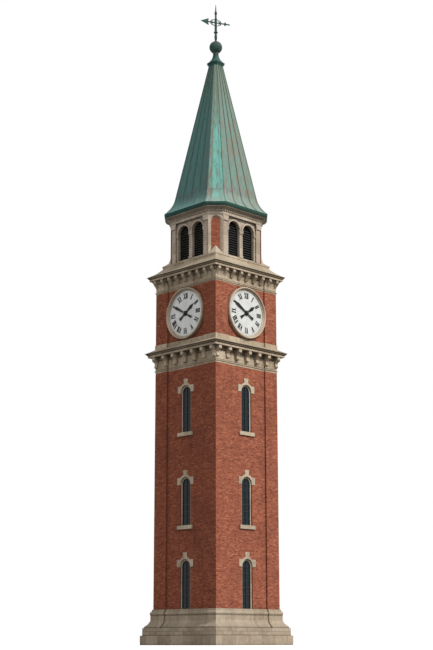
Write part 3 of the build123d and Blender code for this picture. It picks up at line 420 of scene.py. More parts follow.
# The glass is opaque and near black: painted shade for the unlit room behind it.
glass = bpy.data.materials.new("dark leaded glass")
glass.use_nodes = True
tree = glass.node_tree
shader = tree.nodes["Principled BSDF"]
ripple = clouded(join(tree, "TexCoord", {}).outputs["Object"], 9.0, 2.0)
tint = blended(eased(ripple, 0.3, 0.7), (0.005, 0.011, 0.014, 1), (0.012, 0.022, 0.030, 1))
tree.links.new(tint, shader.inputs["Base Color"])
tree.links.new(eased(ripple, 0.2, 0.8, 0.05, 0.14), shader.inputs["Roughness"])
bump = join(tree, "Bump", {"Height": ripple, "Distance": 0.004, "Strength": 0.6})
tree.links.new(bump.outputs[0], shader.inputs["Normal"])
shader.inputs["IOR"].default_value = 1.45
shader.inputs["Specular IOR Level"].default_value = 0.24
coat(glass, "window_panes")

# Painted iron: near black, a little worn and rusty at random.
iron, given, made = effect(
    "painted iron", [("Paint", "Color", (0, 0, 0, 1)), ("Rust", "Float", 0.2)],
    [("Color", "Color"), ("Roughness", "Float"), ("Height", "Float")],
)
place = join(iron, "TexCoord", {}).outputs["Object"]
wear = clouded(place, 12.0, 4.0, 0.65)
brush = clouded(place, 70.0, 2.0)
rusty = product(eased(wear, 0.55, 0.75), given["Rust"])
put_out(
    iron, made, Color=blended(rusty, given["Paint"], (0.10, 0.045, 0.025, 1)), Height=brush,
    Roughness=scaled(wear, 0.4, 0.3),
)
window_iron = finish(
    "window iron", iron, 0.0006, {"Specular IOR Level": 0.25}, Paint=(0.024, 0.031, 0.034, 1), Rust=0.2
)


def add_piece(name, points, polygons, material, body="tower", slot=None, smooth=False):
    """A piece from its points and faces, with its finish, on the body that it moves with."""
    mesh = bpy.data.meshes.new(name)
    mesh.from_pydata(points.tolist(), [], polygons)
    mesh.polygons.foreach_set("use_smooth", np.full(len(mesh.polygons), smooth))
    mesh.materials.append(material)
    piece = bpy.data.objects.new(name, mesh)
    bpy.context.scene.collection.objects.link(piece)
    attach(piece, body)


def turned_about(points, quarter):
    """Points turned about the tower's axis by quarter turns: front, right, back, left."""
    angle = quarter * np.pi / 2
    turn = np.array([[np.cos(angle), -np.sin(angle), 0], [np.sin(angle), np.cos(angle), 0], [0, 0, 1]])
    return points @ turn.T


def bars(outlines, near, far):
    """Upright plates on the front: each four-cornered outline (n, 4, 2) in XZ reaches from near to far.

    Corners go round anticlockwise seen from the front, so that every face points outwards.
    """
    outlines = np.asarray(outlines, float)
    count = len(outlines)
    points = np.zeros((count, 8, 3))
    points[:, :4, 0] = points[:, 4:, 0] = outlines[:, :, 0]
    points[:, :4, 2] = points[:, 4:, 2] = outlines[:, :, 1]
    points[:, :4, 1] = -np.broadcast_to(np.asarray(far, float).reshape(-1, 1), (count, 4))
    points[:, 4:, 1] = -near
    sides = np.array(
        [[0, 1, 2, 3], [7, 6, 5, 4], [0, 4, 5, 1], [1, 5, 6, 2], [2, 6, 7, 3], [3, 7, 4, 0]]
    )
    polygons = (np.arange(count)[:, None, None] * 8 + sides[None]).reshape(-1, 4)
    return points.reshape(-1, 3), polygons.tolist()


def box_outline(x0, x1, z0, z1):
    """The four corners of an upright oblong."""
    return [(x0, z0), (x1, z0), (x1, z1), (x0, z1)]


def arch_band(radius, spring, width, steps):
    """A half ring of short bars over a spring line: inner and outer arcs, cut at equal angles."""
    angle = np.linspace(0, np.pi, steps + 1)
    ring = np.stack([np.cos(angle), np.sin(angle)], 1)
    inner = ring * (radius - width) + (0, spring)
    outer = ring * radius + (0, spring)
    return np.stack([inner[:-1], outer[:-1], outer[1:], inner[1:]], 1)


def joined(parts):
    """Several (points, faces) as one: each part's corner numbers go up by the points before it."""
    points = np.concatenate([p for p, _ in parts])
    polygons, start = [], 0
    for part, corners in parts:
        polygons += [[i + start for i in face] for face in corners]
        start += len(part)
    return points, polygons


shaft_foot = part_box("shaft_wall_front")[0].z
pane_front = -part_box("window_panes")[0].y
pane_reach = 0.321
pane_height = 2.607
frame_bar = 0.034
frame_depth = 0.036
centre_bar = 0.034
bottom_rail = 0.045
cross_bar = 0.022
cross_depth = 0.026
glass_gap = 0.001  # the iron stands clear of the glass by this much
bar_sink = 0.020  # the centre bar ends this far under the head
cross_tuck = 0.030  # the cross bars end inside the frame
arch_steps = 20
window_feet = (shaft_foot + 0.004, 6.474, 11.694)  # each on its sill
lights = []
for foot in window_feet:
    top = foot + pane_height
    spring = top - pane_reach
    rails = [
        box_outline(-pane_reach, -pane_reach + frame_bar, foot, spring),
        box_outline(pane_reach - frame_bar, pane_reach, foot, spring),
        box_outline(-centre_bar / 2, centre_bar / 2, foot, top - bar_sink),
        box_outline(-pane_reach + frame_bar, pane_reach - frame_bar, foot, foot + bottom_rail),
    ]
    levels = np.linspace(foot, spring, 7)[1:]
    cross = [
        box_outline(
            -pane_reach + cross_tuck, pane_reach - cross_tuck, z - cross_bar / 2, z + cross_bar / 2
        )
        for z in levels
    ]
    head = arch_band(pane_reach, spring, frame_bar, arch_steps)
    lights.append(bars(rails, pane_front + glass_gap, [pane_front + frame_depth]))
    lights.append(bars(cross, pane_front + glass_gap, [pane_front + cross_depth]))
    lights.append(bars(head, pane_front + glass_gap, [pane_front + frame_depth]))
points, polygons = joined(lights)
for quarter, face in enumerate(faces):
    add_piece("window_bars_" + face, turned_about(points, quarter), polygons, window_iron)


# ---- floors ----------------------------------------------------------------------------------------
# Cast floors inside the tower: plain grey, with the grain of the boards they were poured on.
poured, given, made = effect(
    "poured floor", [("Grey", "Color", (1, 1, 1, 1))],
    [("Color", "Color"), ("Roughness", "Float"), ("Height", "Float")],
)
place = join(poured, "TexCoord", {}).outputs["Object"]
broad = clouded(place, 1.1, 5.0, 0.6)
fine = clouded(place, 30.0, 3.0)
tone = scaled(broad, 0.7, 0.6)
put_out(
    poured, made, Height=fine, Roughness=scaled(fine, 0.15, 0.78),
    Color=blended(
        1.0, given["Grey"], join(poured, "CombineColor", {0: tone, 1: tone, 2: tone}).outputs[0],
        "MULTIPLY",
    ),
)
coat(
    finish("floor concrete", poured, 0.002, Grey=(0.36, 0.35, 0.33, 1)), "first_floor", "second_floor",
    "clock_floor", "belfry_floor",
)


# ---- cornices --------------------------------------------------------------------------------------
# Below the clock and above it: a lipped architrave, a frieze with carved brackets, a corona and a crown.
# All are limestone blocks a yard or so long; rain has left them darker where they drip.
for name, length, foot, streaks, soot_shade_band, depth, nook_shade_amount in (
    ("lower_architrave", 1.31, 15.0, 0.4, 0.0, 0.0, 0.8),
    ("lower_frieze", 1.6, 15.2, 0.6, 0.50, 0.26, 0.85),
    ("lower_cornice", 1.05, 15.9, 0.5, 0.11, 0.15, 0.9),
    ("clock_course", 0.95, 16.2, 0.5, 0.0, 0.0, 0.8),
    ("upper_architrave", 1.31, 19.6, 0.4, 0.0, 0.0, 0.8),
    ("upper_frieze", 1.2, 19.8, 0.7, 0.41, 0.26, 0.75),
    ("upper_cornice", 1.02, 20.3, 0.5, 0.11, 0.15, 0.9),
    ("block_course", 0.82, 21.1, 0.5, 0.0, 0.0, 0.8),
):
    # Near the top of each frieze and cornice a band is darkened: soot, with painted shade under the
    # overhang. Cornices get stronger painted shade underneath.
    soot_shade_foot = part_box(name)[0].z + soot_shade_band
    coat(
        laid_stone(
            name.replace("_", " ") + " stone", length=length, height=1.6, foot=foot, streaks=streaks,
            soot_shade_band=(soot_shade_foot, soot_shade_foot + depth), tone=1.18, nook_shade_amount=nook_shade_amount,
            underside_shade_amount=0.85 if name.endswith("cornice") else 0.55, chalk=-0.05,
        ),
        name,
    )
# The bracket stone is lighter, with little painted shade underneath: painted light that offsets the
# shadows the brackets cast.
coat(
    laid_stone(
        "bracket stone", length=5.0, height=6.0, foot=13.0, streaks=0.4, joint=0.001, tone=1.3,
        nook_shade_amount=0.5, underside_shade_amount=0.25, chalk=-0.04,
    ),
    "lower_consoles", "upper_modillions",
)


# ---- clock -----------------------------------------------------------------------------------------
# A moulded stone ring holds each dial: white enamelled plates with black Roman numerals.
# The hands are black iron leaves on one arbor, read as ten to two.
coat(
    laid_stone(
        "dial surround stone", length=6.0, height=7.0, foot=14.0, streaks=0.3, joint=0.001, tone=1.3,
        nook_shade_amount=0.55, chalk=0.02,
    ),
    "dial_surrounds",
)
dial_low, dial_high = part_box("dials")
dial_middle = (dial_low.z + dial_high.z) / 2
dial_radius = (dial_high.z - dial_low.z) / 2
hand_gap = 0.020  # from the dial to the back of the hour hand
dial_front = -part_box("hour_hand_front")[1].y - hand_gap

enamel_white = (0.81, 0.81, 0.785, 1)
enamel_grey = (0.67, 0.68, 0.655, 1)
rim_brown = (0.36, 0.33, 0.27, 1)
plate_grey = (0.30, 0.31, 0.30, 1)
arbor_black = (0.012, 0.012, 0.013, 1)
rim_width = 0.22
arbor_radius = 0.066
dial_paint = bpy.data.materials.new("dial enamel")
dial_paint.use_nodes = True
tree = dial_paint.node_tree
shader = tree.nodes["Principled BSDF"]
coords = join(tree, "TexCoord", {})
spot = join(tree, "SeparateXYZ", {0: coords.outputs["Object"]}).outputs
side = sum_of("MINIMUM", sum_of("ABSOLUTE", spot[0]), sum_of("ABSOLUTE", spot[1]))
rise = less(spot[2], dial_middle)
round_reach = sum_of("SQRT", scaled(side, side, product(rise, rise)))
cloud = clouded(coords.outputs["Object"], 2.2, 5.0, 0.6)
speck = clouded(coords.outputs["Object"], 40.0, 3.0)
colour = blended(eased(cloud, 0.3, 0.75), enamel_white, enamel_grey)
rim_dirt = eased(round_reach, dial_radius - rim_width, dial_radius, 0.0, 0.35)
colour = blended(product(rim_dirt, total(cloud, 0.3)), colour, rim_brown)
plate_seam = sum_of("MINIMUM", sum_of("ABSOLUTE", rise), side)
plate_seam = eased(plate_seam, 0.004, 0.014, 0.42, 0.0)
colour = blended(plate_seam, colour, plate_grey)
arbor = sum_of("LESS_THAN", round_reach, arbor_radius)
colour = blended(arbor, colour, arbor_black)
tree.links.new(colour, shader.inputs["Base Color"])
tree.links.new(scaled(speck, 0.2, 0.12), shader.inputs["Roughness"])
shader.inputs["Specular IOR Level"].default_value = 1.0
shader.inputs["Coat Weight"].default_value = 0.6
shader.inputs["Coat Roughness"].default_value = 0.08
bump = join(tree, "Bump", {"Height": product(plate_seam, -1.0), "Distance": 0.003, "Strength": 1.0})
tree.links.new(bump.outputs[0], shader.inputs["Normal"])
coat(dial_paint, "dials")

black_paint = finish(
    "black hand paint", iron, 0.0005, {"Specular IOR Level": 0.2}, Paint=(0.010, 0.010, 0.011, 1),
    Rust=0.15,
)
coat(black_paint, *["hour_hand_" + f for f in faces], *["minute_hand_" + f for f in faces])

numeral_foot = 0.858
numeral_height = 0.335
numeral_top = numeral_foot + numeral_height
broad_stroke = 0.064
fine_stroke = 0.026
serif = 0.020
serif_overhang = 0.012
broad_inset = 0.040
fine_inset = 0.034
crossing_inset = 0.042
letter_width = {"I": 0.084, "V": 0.190, "X": 0.200}


def stroke(foot_x, top_x, half):
    """A bar as high as the letters, which leans from one place at the foot to another at the top."""
    foot = [(foot_x - half, numeral_foot), (foot_x + half, numeral_foot)]
    return foot + [(top_x + half, numeral_top), (top_x - half, numeral_top)]


def letter(kind, left):
    """The strokes of one Roman letter in a strip that starts at left: leaning bars, then serifs."""
    right = left + letter_width[kind]
    middle = (left + right) / 2
    half = broad_stroke / 2
    thin = fine_stroke / 2
    if kind == "I":
        strokes = [stroke(middle, middle, half)]
        feet = [(middle, numeral_foot), (middle, numeral_top)]
    elif kind == "V":
        first = left + broad_inset
        second = right - fine_inset
        strokes = [stroke(middle, first, half), stroke(middle, second, thin)]
        feet = [(first, numeral_top), (second, numeral_top)]
    else:
        first = left + crossing_inset
        second = right - crossing_inset
        strokes = [stroke(second, first, half), stroke(first, second, thin)]
        feet = [(x, z) for z in (numeral_foot, numeral_top) for x in (first, second)]
    for x, z in feet:
        low = z if z == numeral_foot else z - serif
        strokes.append(
            box_outline(x - half - serif_overhang, x + half + serif_overhang, low, low + serif)
        )
    return strokes


def about_dial(outlines, turn):
    """Outlines drawn upright at twelve, turned clockwise about the dial's middle by an angle."""
    outlines = np.asarray(outlines, float)
    x = outlines[..., 0] * np.cos(turn) + outlines[..., 1] * np.sin(turn)
    z = outlines[..., 1] * np.cos(turn) - outlines[..., 0] * np.sin(turn)
    return np.stack([x, z + dial_middle], -1)


marks = []
hours = ("XII", "I", "II", "III", "IV", "V", "VI", "VII", "VIII", "IX", "X", "XI")
for hour, letters in enumerate(hours):
    left = -sum(letter_width[k] for k in letters) / 2
    for kind in letters:
        marks.append(about_dial(letter(kind, left), hour * np.pi / 6))
        left += letter_width[kind]
strokes = np.concatenate(marks)
# The strokes stand out to three slightly different depths in turn, so that fewer share a plane.
numeral_depth = 0.008
depth_step = 0.0006
numeral_bed = 0.002
depth = dial_front + numeral_depth + depth_step * (np.arange(len(strokes)) % 3)
points, polygons = bars(strokes, dial_front - numeral_bed, depth)
for quarter, face in enumerate(faces):
    add_piece(
        "dial_numerals_" + face, turned_about(points, quarter), polygons, black_paint, slot="hand_black"
    )


# ---- belfry ----------------------------------------------------------------------------------------
# An eight-sided limestone bell chamber: pilasters, twin arches on a mullion, brick in the cut corners.
# Dark painted louvres close the arches; their drip edges are lighter, a painted highlight.
# A row of dentils runs under the cornice.
for name, length, height, foot, streaks in (
    ("belfry_corners", 7.0, 0.62, 21.88, 0.5), ("belfry_mullions", 7.0, 0.70, 21.9, 0.4),
    ("belfry_frieze", 1.3, 1.6, 23.4, 0.5), ("belfry_cornice", 1.1, 1.6, 23.6, 0.6),
    ("corner_broaches", 7.0, 6.0, 19.0, 0.5), ("belfry_capitals", 7.0, 6.0, 19.0, 0.4),
):
    coat(
        laid_stone(
            name.replace("_", " ") + " stone", length=length, height=height, foot=foot, streaks=streaks,
            joint=0.010, tone=1.2, chalk=0.08,
        ),
        name,
    )
arcade_stone = laid_stone(
    "arcade stone", length=7.0, height=0.62, foot=21.88, streaks=0.5, joint=0.010, tone=1.2, chalk=0.08
)
coat(arcade_stone, *["belfry_arcade_" + f for f in faces])
coat(
    finish(
        "louvre paint", iron, 0.001, {"Specular IOR Level": 0.08}, Paint=(0.006, 0.007, 0.008, 1),
        Rust=0.05,
    ),
    "belfry_louvres",
)

louvre_low, louvre_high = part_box("belfry_louvres")
louvre_frame = 0.045
louvre_rise = 0.138
louvre_pitch = 0.15
drip_half = 0.012
drip_gap = 0.004  # to the frame at each side
drip_lift = 0.004
drip_bed = 0.004
drip_depth = 0.008
arch_middle = 0.595
arch_opening = 0.462
arch_radius = arch_opening - louvre_frame
louvre_clear = louvre_high.z - louvre_low.z - 2 * louvre_frame
louvre_count = int(np.ceil(louvre_clear / louvre_pitch))
levels = louvre_low.z + louvre_frame + (np.arange(louvre_count) + 0.5) * louvre_clear / louvre_count
levels = levels - louvre_rise / 2 + drip_lift
levels = levels[levels > louvre_low.z + louvre_frame]
over_spring = np.maximum(levels + drip_half - (louvre_high.z - louvre_frame - arch_radius), 0.0)
reach = np.sqrt(arch_radius ** 2 - over_spring ** 2) - drip_gap
edges = [
    box_outline(middle - half, middle + half, z - drip_half, z + drip_half)
    for middle in (-arch_middle, arch_middle)
    for half, z in zip(reach, levels)
]
# The drip edges are a lighter grey than the blades: a painted highlight along the lit edges, with some
# rust.
edge_highlight_paint = finish(
    "louvre edge highlight", iron, 0.001, {"Specular IOR Level": 0.1}, Paint=(0.085, 0.085, 0.08, 1),
    Rust=0.5,
)
points, polygons = bars(edges, louvre_high.y - drip_bed, [louvre_high.y + drip_depth])
for quarter, face in enumerate(faces):
    edge_points = turned_about(points, quarter)
    add_piece("louvre_drip_edges_" + face, edge_points, polygons, edge_highlight_paint, slot="louvre_dark")

cornice_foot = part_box("belfry_cornice")[0].z
frieze_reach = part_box("belfry_frieze")[1].x
bed_step = 0.012
bed_reach = frieze_reach + bed_step
corner_step = 0.474
dentil_pitch = 0.16
dentil_width = 0.084
dentil_rise = 0.008  # over the foot of the cornice
dentil_height = 0.080
dentil_depth = 0.055
dentil_foot = cornice_foot + dentil_rise
main_half = 1.52  # half the length of a row
corner_half = 0.40
dentil_rows = []
for reach, half, turn in ((bed_reach, main_half, 0.0), (bed_reach + corner_step, corner_half, 0.5)):
    middles = np.arange(-half, half + 0.01, dentil_pitch)
    blocks_out = [
        box_outline(x - dentil_width / 2, x + dentil_width / 2, dentil_foot, dentil_foot + dentil_height)
        for x in middles
    ]
    points, polygons = bars(blocks_out, reach, [reach + dentil_depth])
    dentil_rows += [(turned_about(points, quarter + turn), polygons) for quarter in range(4)]
dentil_stone = laid_stone(
    "dentil stone", length=5.0, height=6.0, foot=13.0, streaks=0.3, joint=0.001, tone=1.25, nook_shade_amount=0.4
)
add_piece("cornice_dentils", *joined(dentil_rows), dentil_stone, slot="limestone")


# ---- copper roof -----------------------------------------------------------------------------------
# Sheet copper over boards, in long bays between standing seams, green with age and streaked brown.
# Rolls cover the hips. The sheets lap where the slope begins to flare, and a drip edge runs round the
# eave.
roof_low, roof_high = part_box("spire_main_slopes")
slope_points = np.array([v.co for v in tower_nodes["spire_main_slopes"].data.vertices])
on_front = slope_points[-slope_points[:, 1] > np.abs(slope_points[:, 0])]
heights = np.unique(np.round(on_front[:, 2], 3))
slope_reach = np.array([(-on_front[np.abs(on_front[:, 2] - z) < 0.002, 1]).max() for z in heights])
hip_place = 2.0 / 3.0

dulled = (0.72, 0.78, 0.76, 1)
between_streaks = (0.40, 0.46, 0.46, 1)
flare_mint = (0.27, 0.365, 0.315, 1)
lap_stain = (0.25, 0.18, 0.16, 1)
worn_top = (0.20, 0.225, 0.17, 1)
lap_dark = (0.07, 0.11, 0.09, 1)
# dirt with painted shade, beside the seams
seam_dirt_and_shade = (0.05, 0.085, 0.068, 1)
# painted shade for the sides away from the lamp
copper_shaded_side = (0.43, 0.68, 0.75, 1)
copper, given, made = effect(
    "aged copper",
    [
        ("Green", "Color", (1, 1, 1, 1)), ("Pale", "Color", (1, 1, 1, 1)),
        ("Brown", "Color", (1, 1, 1, 1)), ("Bays", "Float", 3.0), ("Shift", "Float", 0.0),
        ("Streaks", "Float", 1.0), ("Outer Brown", "Float", 0.0), ("Middle Pale", "Float", 0.0),
        ("Lap", "Float", 0.0), ("Top", "Float", 99.0), ("Seam Dirt", "Float", 0.8),
        ("Inner From", "Float", -1.5), ("Inner To", "Float", 0.5), ("Damp", "Float", 1.0),
    ],
    [("Color", "Color"), ("Roughness", "Float"), ("Height", "Float")],
)
coords = join(copper, "TexCoord", {})
place = coords.outputs["Object"]
run = in_group(copper, wall_run)
spot = join(copper, "SeparateXYZ", {0: place}).outputs
outwards = join(
    copper, "VectorMath", {0: coords.outputs["Normal"], 1: (1, 1, 0)}, operation="MULTIPLY"
).outputs[0]
outwards = join(copper, "VectorMath", {0: outwards}, operation="NORMALIZE").outputs[0]
reach = join(copper, "VectorMath", {0: place, 1: outwards}, operation="DOT_PRODUCT").outputs["Value"]
reach = sum_of("MAXIMUM", reach, 0.05)
slant = sum_of("DIVIDE", run["Along"], reach)
across = scaled(slant, given["Bays"], given["Shift"])
bay = sum_of("FLOOR", across)
share = sum_of("FRACT", across)
share = sum_of("MINIMUM", share, less(1.0, share))
# Each bay between seams has its own luck, and each sheet in it a tint of its own.
luck = join(copper, "TexWhiteNoise", {"Vector": placed(bay, run["Face"], 3.0)}, noise_dimensions="3D")
kinds = join(copper, "SeparateColor", {0: luck.outputs["Color"]}).outputs
sheet = sum_of("FLOOR", sum_of("DIVIDE", scaled(kinds[0], 1.7, spot[2]), 2.45))
patch = join(copper, "TexWhiteNoise", {"Vector": placed(bay, run["Face"], sheet)}, noise_dimensions="3D")
# Noise drawn out down the slope, in streaks from broad to fine.
streak_place = placed(scaled(slant, 15.0, product(kinds[1], 9.0)), product(spot[2], 0.33), run["Face"])
streak = clouded(streak_place, 1.0, 5.0, 0.6)
fine_place = packed(slant, spot[2], run["Face"], 70.0, 1.3)
fine = clouded(fine_place, 1.0, 3.0)
bloom = clouded(place, 1.6, 5.0, 0.62)
pale = scaled(patch.outputs["Value"], 0.3, product(kinds[2], 0.75))
pale = scaled(less(fine, 0.5), 0.9, less(pale, 0.2))
outer = sum_of("LESS_THAN", bay, given["Inner From"])
outer = sum_of("MAXIMUM", outer, sum_of("GREATER_THAN", bay, given["Inner To"]))
inner = product(less(1.0, outer), given["Middle Pale"])
high = less(given["Top"], spot[2])
pale = scaled(inner, eased(high, 3.0, 5.0), pale)
colour = blended(pale, given["Green"], given["Pale"])
patch_place = packed(slant, spot[2], run["Face"], 14.0, 1.5)
blot = clouded(patch_place, 1.0, 6.0, 0.72)
dull_green = blended(0.5, given["Green"], given["Brown"])
dull_green = blended(1.0, dull_green, dulled, "MULTIPLY")
colour = blended(eased(blot, 0.50, 0.61, 0.0, 0.75), colour, dull_green)
colour = blended(eased(blot, 0.50, 0.39, 0.0, 0.55), colour, given["Pale"])
# Brown runs down in streaks, more beside the seams, and over the outer bays.
beside = eased(share, 0.0, 0.42, 0.16, -0.04)
wet = scaled(less(kinds[1], 0.5), 0.16, total(streak, beside))
brown = product(eased(wet, 0.54, 0.66), given["Streaks"])
brown = product(brown, eased(bloom, 0.36, 0.58, 0.35, 1.0))
outer = product(outer, given["Outer Brown"])
brown = sum_of("MAXIMUM", brown, product(outer, eased(blot, 0.38, 0.56, 0.2, 1.0)))
colour = blended(product(brown, 0.85), colour, given["Brown"])
shadow = blended(1.0, given["Green"], between_streaks, "MULTIPLY")
colour = blended(eased(fine, 0.54, 0.74, 0.0, 0.5), colour, shadow)
# The flare under the lap is a chalky mint, stained about the lap itself, and the top is worn.
drop = less(given["Lap"], scaled(bloom, 0.10, spot[2]))
flare = eased(drop, -0.25, 0.10)
mint = product(flare, eased(bloom, 0.38, 0.6, 0.15, 0.7))
colour = blended(mint, colour, flare_mint)
rust = product(eased(sum_of("ABSOLUTE", drop), 0.0, 0.9, 1.0, 0.0), given["Streaks"])
rust = product(rust, eased(blot, 0.46, 0.56, 0.0, 0.8))
colour = blended(rust, colour, lap_stain)
worn = eased(spot[2], less(given["Top"], 5.0), given["Top"], 0.0, 0.55)
colour = blended(worn, colour, worn_top)
lap_line = sum_of("ABSOLUTE", less(given["Lap"], spot[2]))
colour = blended(eased(lap_line, 0.012, 0.03, 0.3, 0.0), colour, lap_dark)
# A dark line beside each seam: dirt in part, and in part painted shade at the rib's foot; less of it on
# the sides away from the lamp.
seam = product(sum_of("DIVIDE", share, given["Bays"]), reach)
seam = product(eased(seam, 0.020, 0.050, 1.0, 0.0), given["Seam Dirt"])
seam = product(seam, eased(run["Face"], -4.5, -3.5, 0.35, 1.0))
colour = blended(seam, colour, seam_dirt_and_shade)
# The left side and the back left corner, away from the lamp, are darker: painted shade.
shaded_side = sum_of("LESS_THAN", run["Face"], -4.0)
colour = blended(product(shaded_side, given["Damp"]), colour, copper_shaded_side, "MULTIPLY")
put_out(
    copper, made, Color=colour, Height=scaled(bloom, 0.6, product(fine, 0.4)),
    Roughness=scaled(streak, 0.25, 0.5),
)
lap_rise = 0.97  # the sheets lap where the slope begins to flare
lap_height = roof_low.z + lap_rise
sheet_copper = {
    "Green": (0.205, 0.315, 0.26, 1), "Brown": (0.275, 0.205, 0.155, 1), "Lap": lap_height,
    "Top": roof_high.z,
}
dull = {"Metallic": 0.0, "Specular IOR Level": 0.2}
roof_copper = finish(
    "roof copper", copper, 0.006, dull, Pale=(0.145, 0.355, 0.31, 1), Outer_Brown=0.45, Seam_Dirt=0.5,
    **sheet_copper
)
corner_copper = finish(
    "corner roof copper", copper, 0.006, dull, Pale=(0.20, 0.55, 0.475, 1), Bays=5.0, Shift=0.5,
    Streaks=0.5, Outer_Brown=1.0, Middle_Pale=1.0, Seam_Dirt=0.2, Inner_From=-0.5, Inner_To=9.0,
    **sheet_copper
)
seam_copper = finish(
    "seam copper", copper, 0.006, dull, Pale=(0.145, 0.355, 0.31, 1), Seam_Dirt=0.3, **sheet_copper
)
# The seams on the left side take darker copper: a shaded copy of the seam copper, painted shade.
shaded_side_seam_copper = finish(
    "damp seam copper", copper, 0.006, dull, Green=(0.085, 0.175, 0.155, 1),
    Pale=(0.07, 0.205, 0.185, 1), Brown=(0.095, 0.13, 0.115, 1), Streaks=0.4, Lap=lap_height,
    Top=roof_high.z, Seam_Dirt=0.15, Damp=0.0,
)
edge_copper = finish(
    "edge copper", copper, 0.003, dull, Green=(0.028, 0.095, 0.072, 1), Pale=(0.04, 0.13, 0.10, 1),
    Brown=(0.045, 0.055, 0.042, 1), Streaks=0.5, Seam_Dirt=0.0,
)
coat(roof_copper, "spire_main_slopes")
coat(corner_copper, "spire_corner_slopes")
coat(edge_copper, "roof_eave")


def swept(path, outward, section):
    """A section (u, v) carried along a path, with u to the side and v outwards.

    A point is the path's point, and u times sideways, and v times outward. Sideways is the way along the
    path crossed with outward. The section goes round anticlockwise seen against the path, and a cap
    closes each end.
    """
    along = np.gradient(path, axis=0)
    along /= np.linalg.norm(along, axis=1, keepdims=True)
    outward = outward - along * (outward * along).sum(1, keepdims=True)
    outward /= np.linalg.norm(outward, axis=1, keepdims=True)
    sideways = np.cross(along, outward)
    aside = sideways[:, None] * section[None, :, :1]
    rings = path[:, None] + aside + outward[:, None] * section[None, :, 1:]
    count, around = rings.shape[:2]
    grid = np.arange(count * around).reshape(count, around)
    here, ahead = grid[:-1], grid[1:]
    quads = np.stack([here, ahead, np.roll(ahead, -1, 1), np.roll(here, -1, 1)], -1)
    quads = quads.reshape(-1, 4).tolist()
    quads += [grid[0].tolist(), grid[-1][::-1].tolist()]
    return rings.reshape(-1, 3), quads


def slope_run(place, low, high, steps):
    """A line up the front slope, where the distance from the middle over the distance out is place."""
    z = np.linspace(low, high, steps)
    out = np.interp(z, heights, slope_reach)
    fall = np.gradient(out, z)
    path = np.stack([out * place, -out, z], 1)
    outward = np.stack([np.zeros(steps), -np.ones(steps), -fall], 1)
    outward /= np.linalg.norm(outward, axis=1, keepdims=True)
    return path, outward


roof_foot = roof_low.z
roof_top = roof_high.z
seam_section = np.array(
    [(-0.015, -0.004), (0.015, -0.004), (0.012, 0.026), (0.006, 0.032), (-0.006, 0.032), (-0.012, 0.026)]
)
roll_radius = 0.028
angle = np.linspace(0, 2 * np.pi, 12, endpoint=False)
roll_section = roll_radius * np.stack([np.cos(angle), np.sin(angle)], 1)
seam_steps = 60
hip_lean = 0.35  # the roll over a hip leans out past the slope
seams = [
    swept(*slope_run(place, roof_foot, roof_top, seam_steps), seam_section)
    for place in (-1 / 3, 0.0, 1 / 3)
]
for place in (-hip_place, hip_place):
    path, outward = slope_run(place, roof_foot, roof_top, seam_steps)
    outward = outward + np.array([np.sign(place) * hip_lean, 0, 0])
    seams.append(swept(path, outward, roll_section))
for quarter, face in enumerate(faces):
    parts = [(turned_about(points, quarter), polygons) for points, polygons in seams]
    add_piece(
        "roof_seams_" + face, *joined(parts), shaded_side_seam_copper if face == "left" else seam_copper,
        slot="weathered_copper",
    )

eave_low, eave_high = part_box("roof_eave")
eave_reach = eave_high.x
hip_side = eave_reach * hip_place
octagon = np.array(
    [
        (-hip_side, -eave_reach), (hip_side, -eave_reach), (eave_reach, -hip_side),
        (eave_reach, hip_side), (hip_side, eave_reach), (-hip_side, eave_reach), (-eave_reach, hip_side),
        (-eave_reach, -hip_side),
    ]
)


def ring_round(z, section, spread=0.0):
    """A section carried level round the eight sides, mitred at the corners by widening it there."""
    corners = octagon * (1 + spread / eave_reach)
    ahead = np.roll(corners, -1, 0) - corners
    ahead /= np.linalg.norm(ahead, axis=1, keepdims=True)
    normal = np.column_stack([ahead[:, 1], -ahead[:, 0]])
    before = np.roll(normal, 1, 0)
    mitre = normal + before
    mitre /= (mitre * normal).sum(1, keepdims=True)
    points = np.zeros((8, len(section), 3))
    points[:, :, :2] = corners[:, None] + mitre[:, None] * section[None, :, :1]
    points[:, :, 2] = z + section[None, :, 1]
    grid = np.arange(8 * len(section)).reshape(8, -1)
    ahead = np.roll(grid, -1, 0)
    quads = np.stack([grid, ahead, np.roll(ahead, -1, 1), np.roll(grid, -1, 1)], -1).reshape(-1, 4)
    return points.reshape(-1, 3), quads.tolist()


drip_radius = 0.020
drip = drip_radius * np.stack([np.cos(angle), np.sin(angle)], 1)
roll_drop = 0.018
lower_rise = 0.075
eave_rolls = [
    ring_round(eave_high.z - roll_drop, drip, 0.006),
    ring_round(eave_low.z + lower_rise, drip * 0.7, 0.002),
]
add_piece("eave_drip_roll", *joined(eave_rolls), edge_copper, slot="weathered_copper", smooth=True)


# ---- finial and weathervane ------------------------------------------------------------------------
# An eight-sided copper cap, a ball, and a turned mast with an arrow that swings on it; all dark green.
# Scrolled braces, in the same copper, stiffen the arrow where it crosses the mast.
vane_copper = finish(
    "finial copper", copper, 0.003, {"Metallic": 0.0, "Specular IOR Level": 0.25},
    Green=(0.024, 0.085, 0.068, 1), Pale=(0.045, 0.15, 0.12, 1), Brown=(0.055, 0.055, 0.042, 1),
    Streaks=0.7, Seam_Dirt=0.0,
)
coat(vane_copper, "finial_collar", "finial_ball", "vane_mast", "weathervane")

vane_low, vane_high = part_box("weathervane")
vane_height = (vane_low.z + vane_high.z) / 2
vane_heading = np.radians(155.4)


def vane_line(points):
    """Points (along the arrow, up) in the arrow's upright plane, placed at the vane."""
    points = np.asarray(points, float)
    along = np.array([np.cos(vane_heading), np.sin(vane_heading), 0])
    return points[:, :1] * along + points[:, 1:] * np.array([0, 0, 1]) + np.array([0, 0, vane_height])


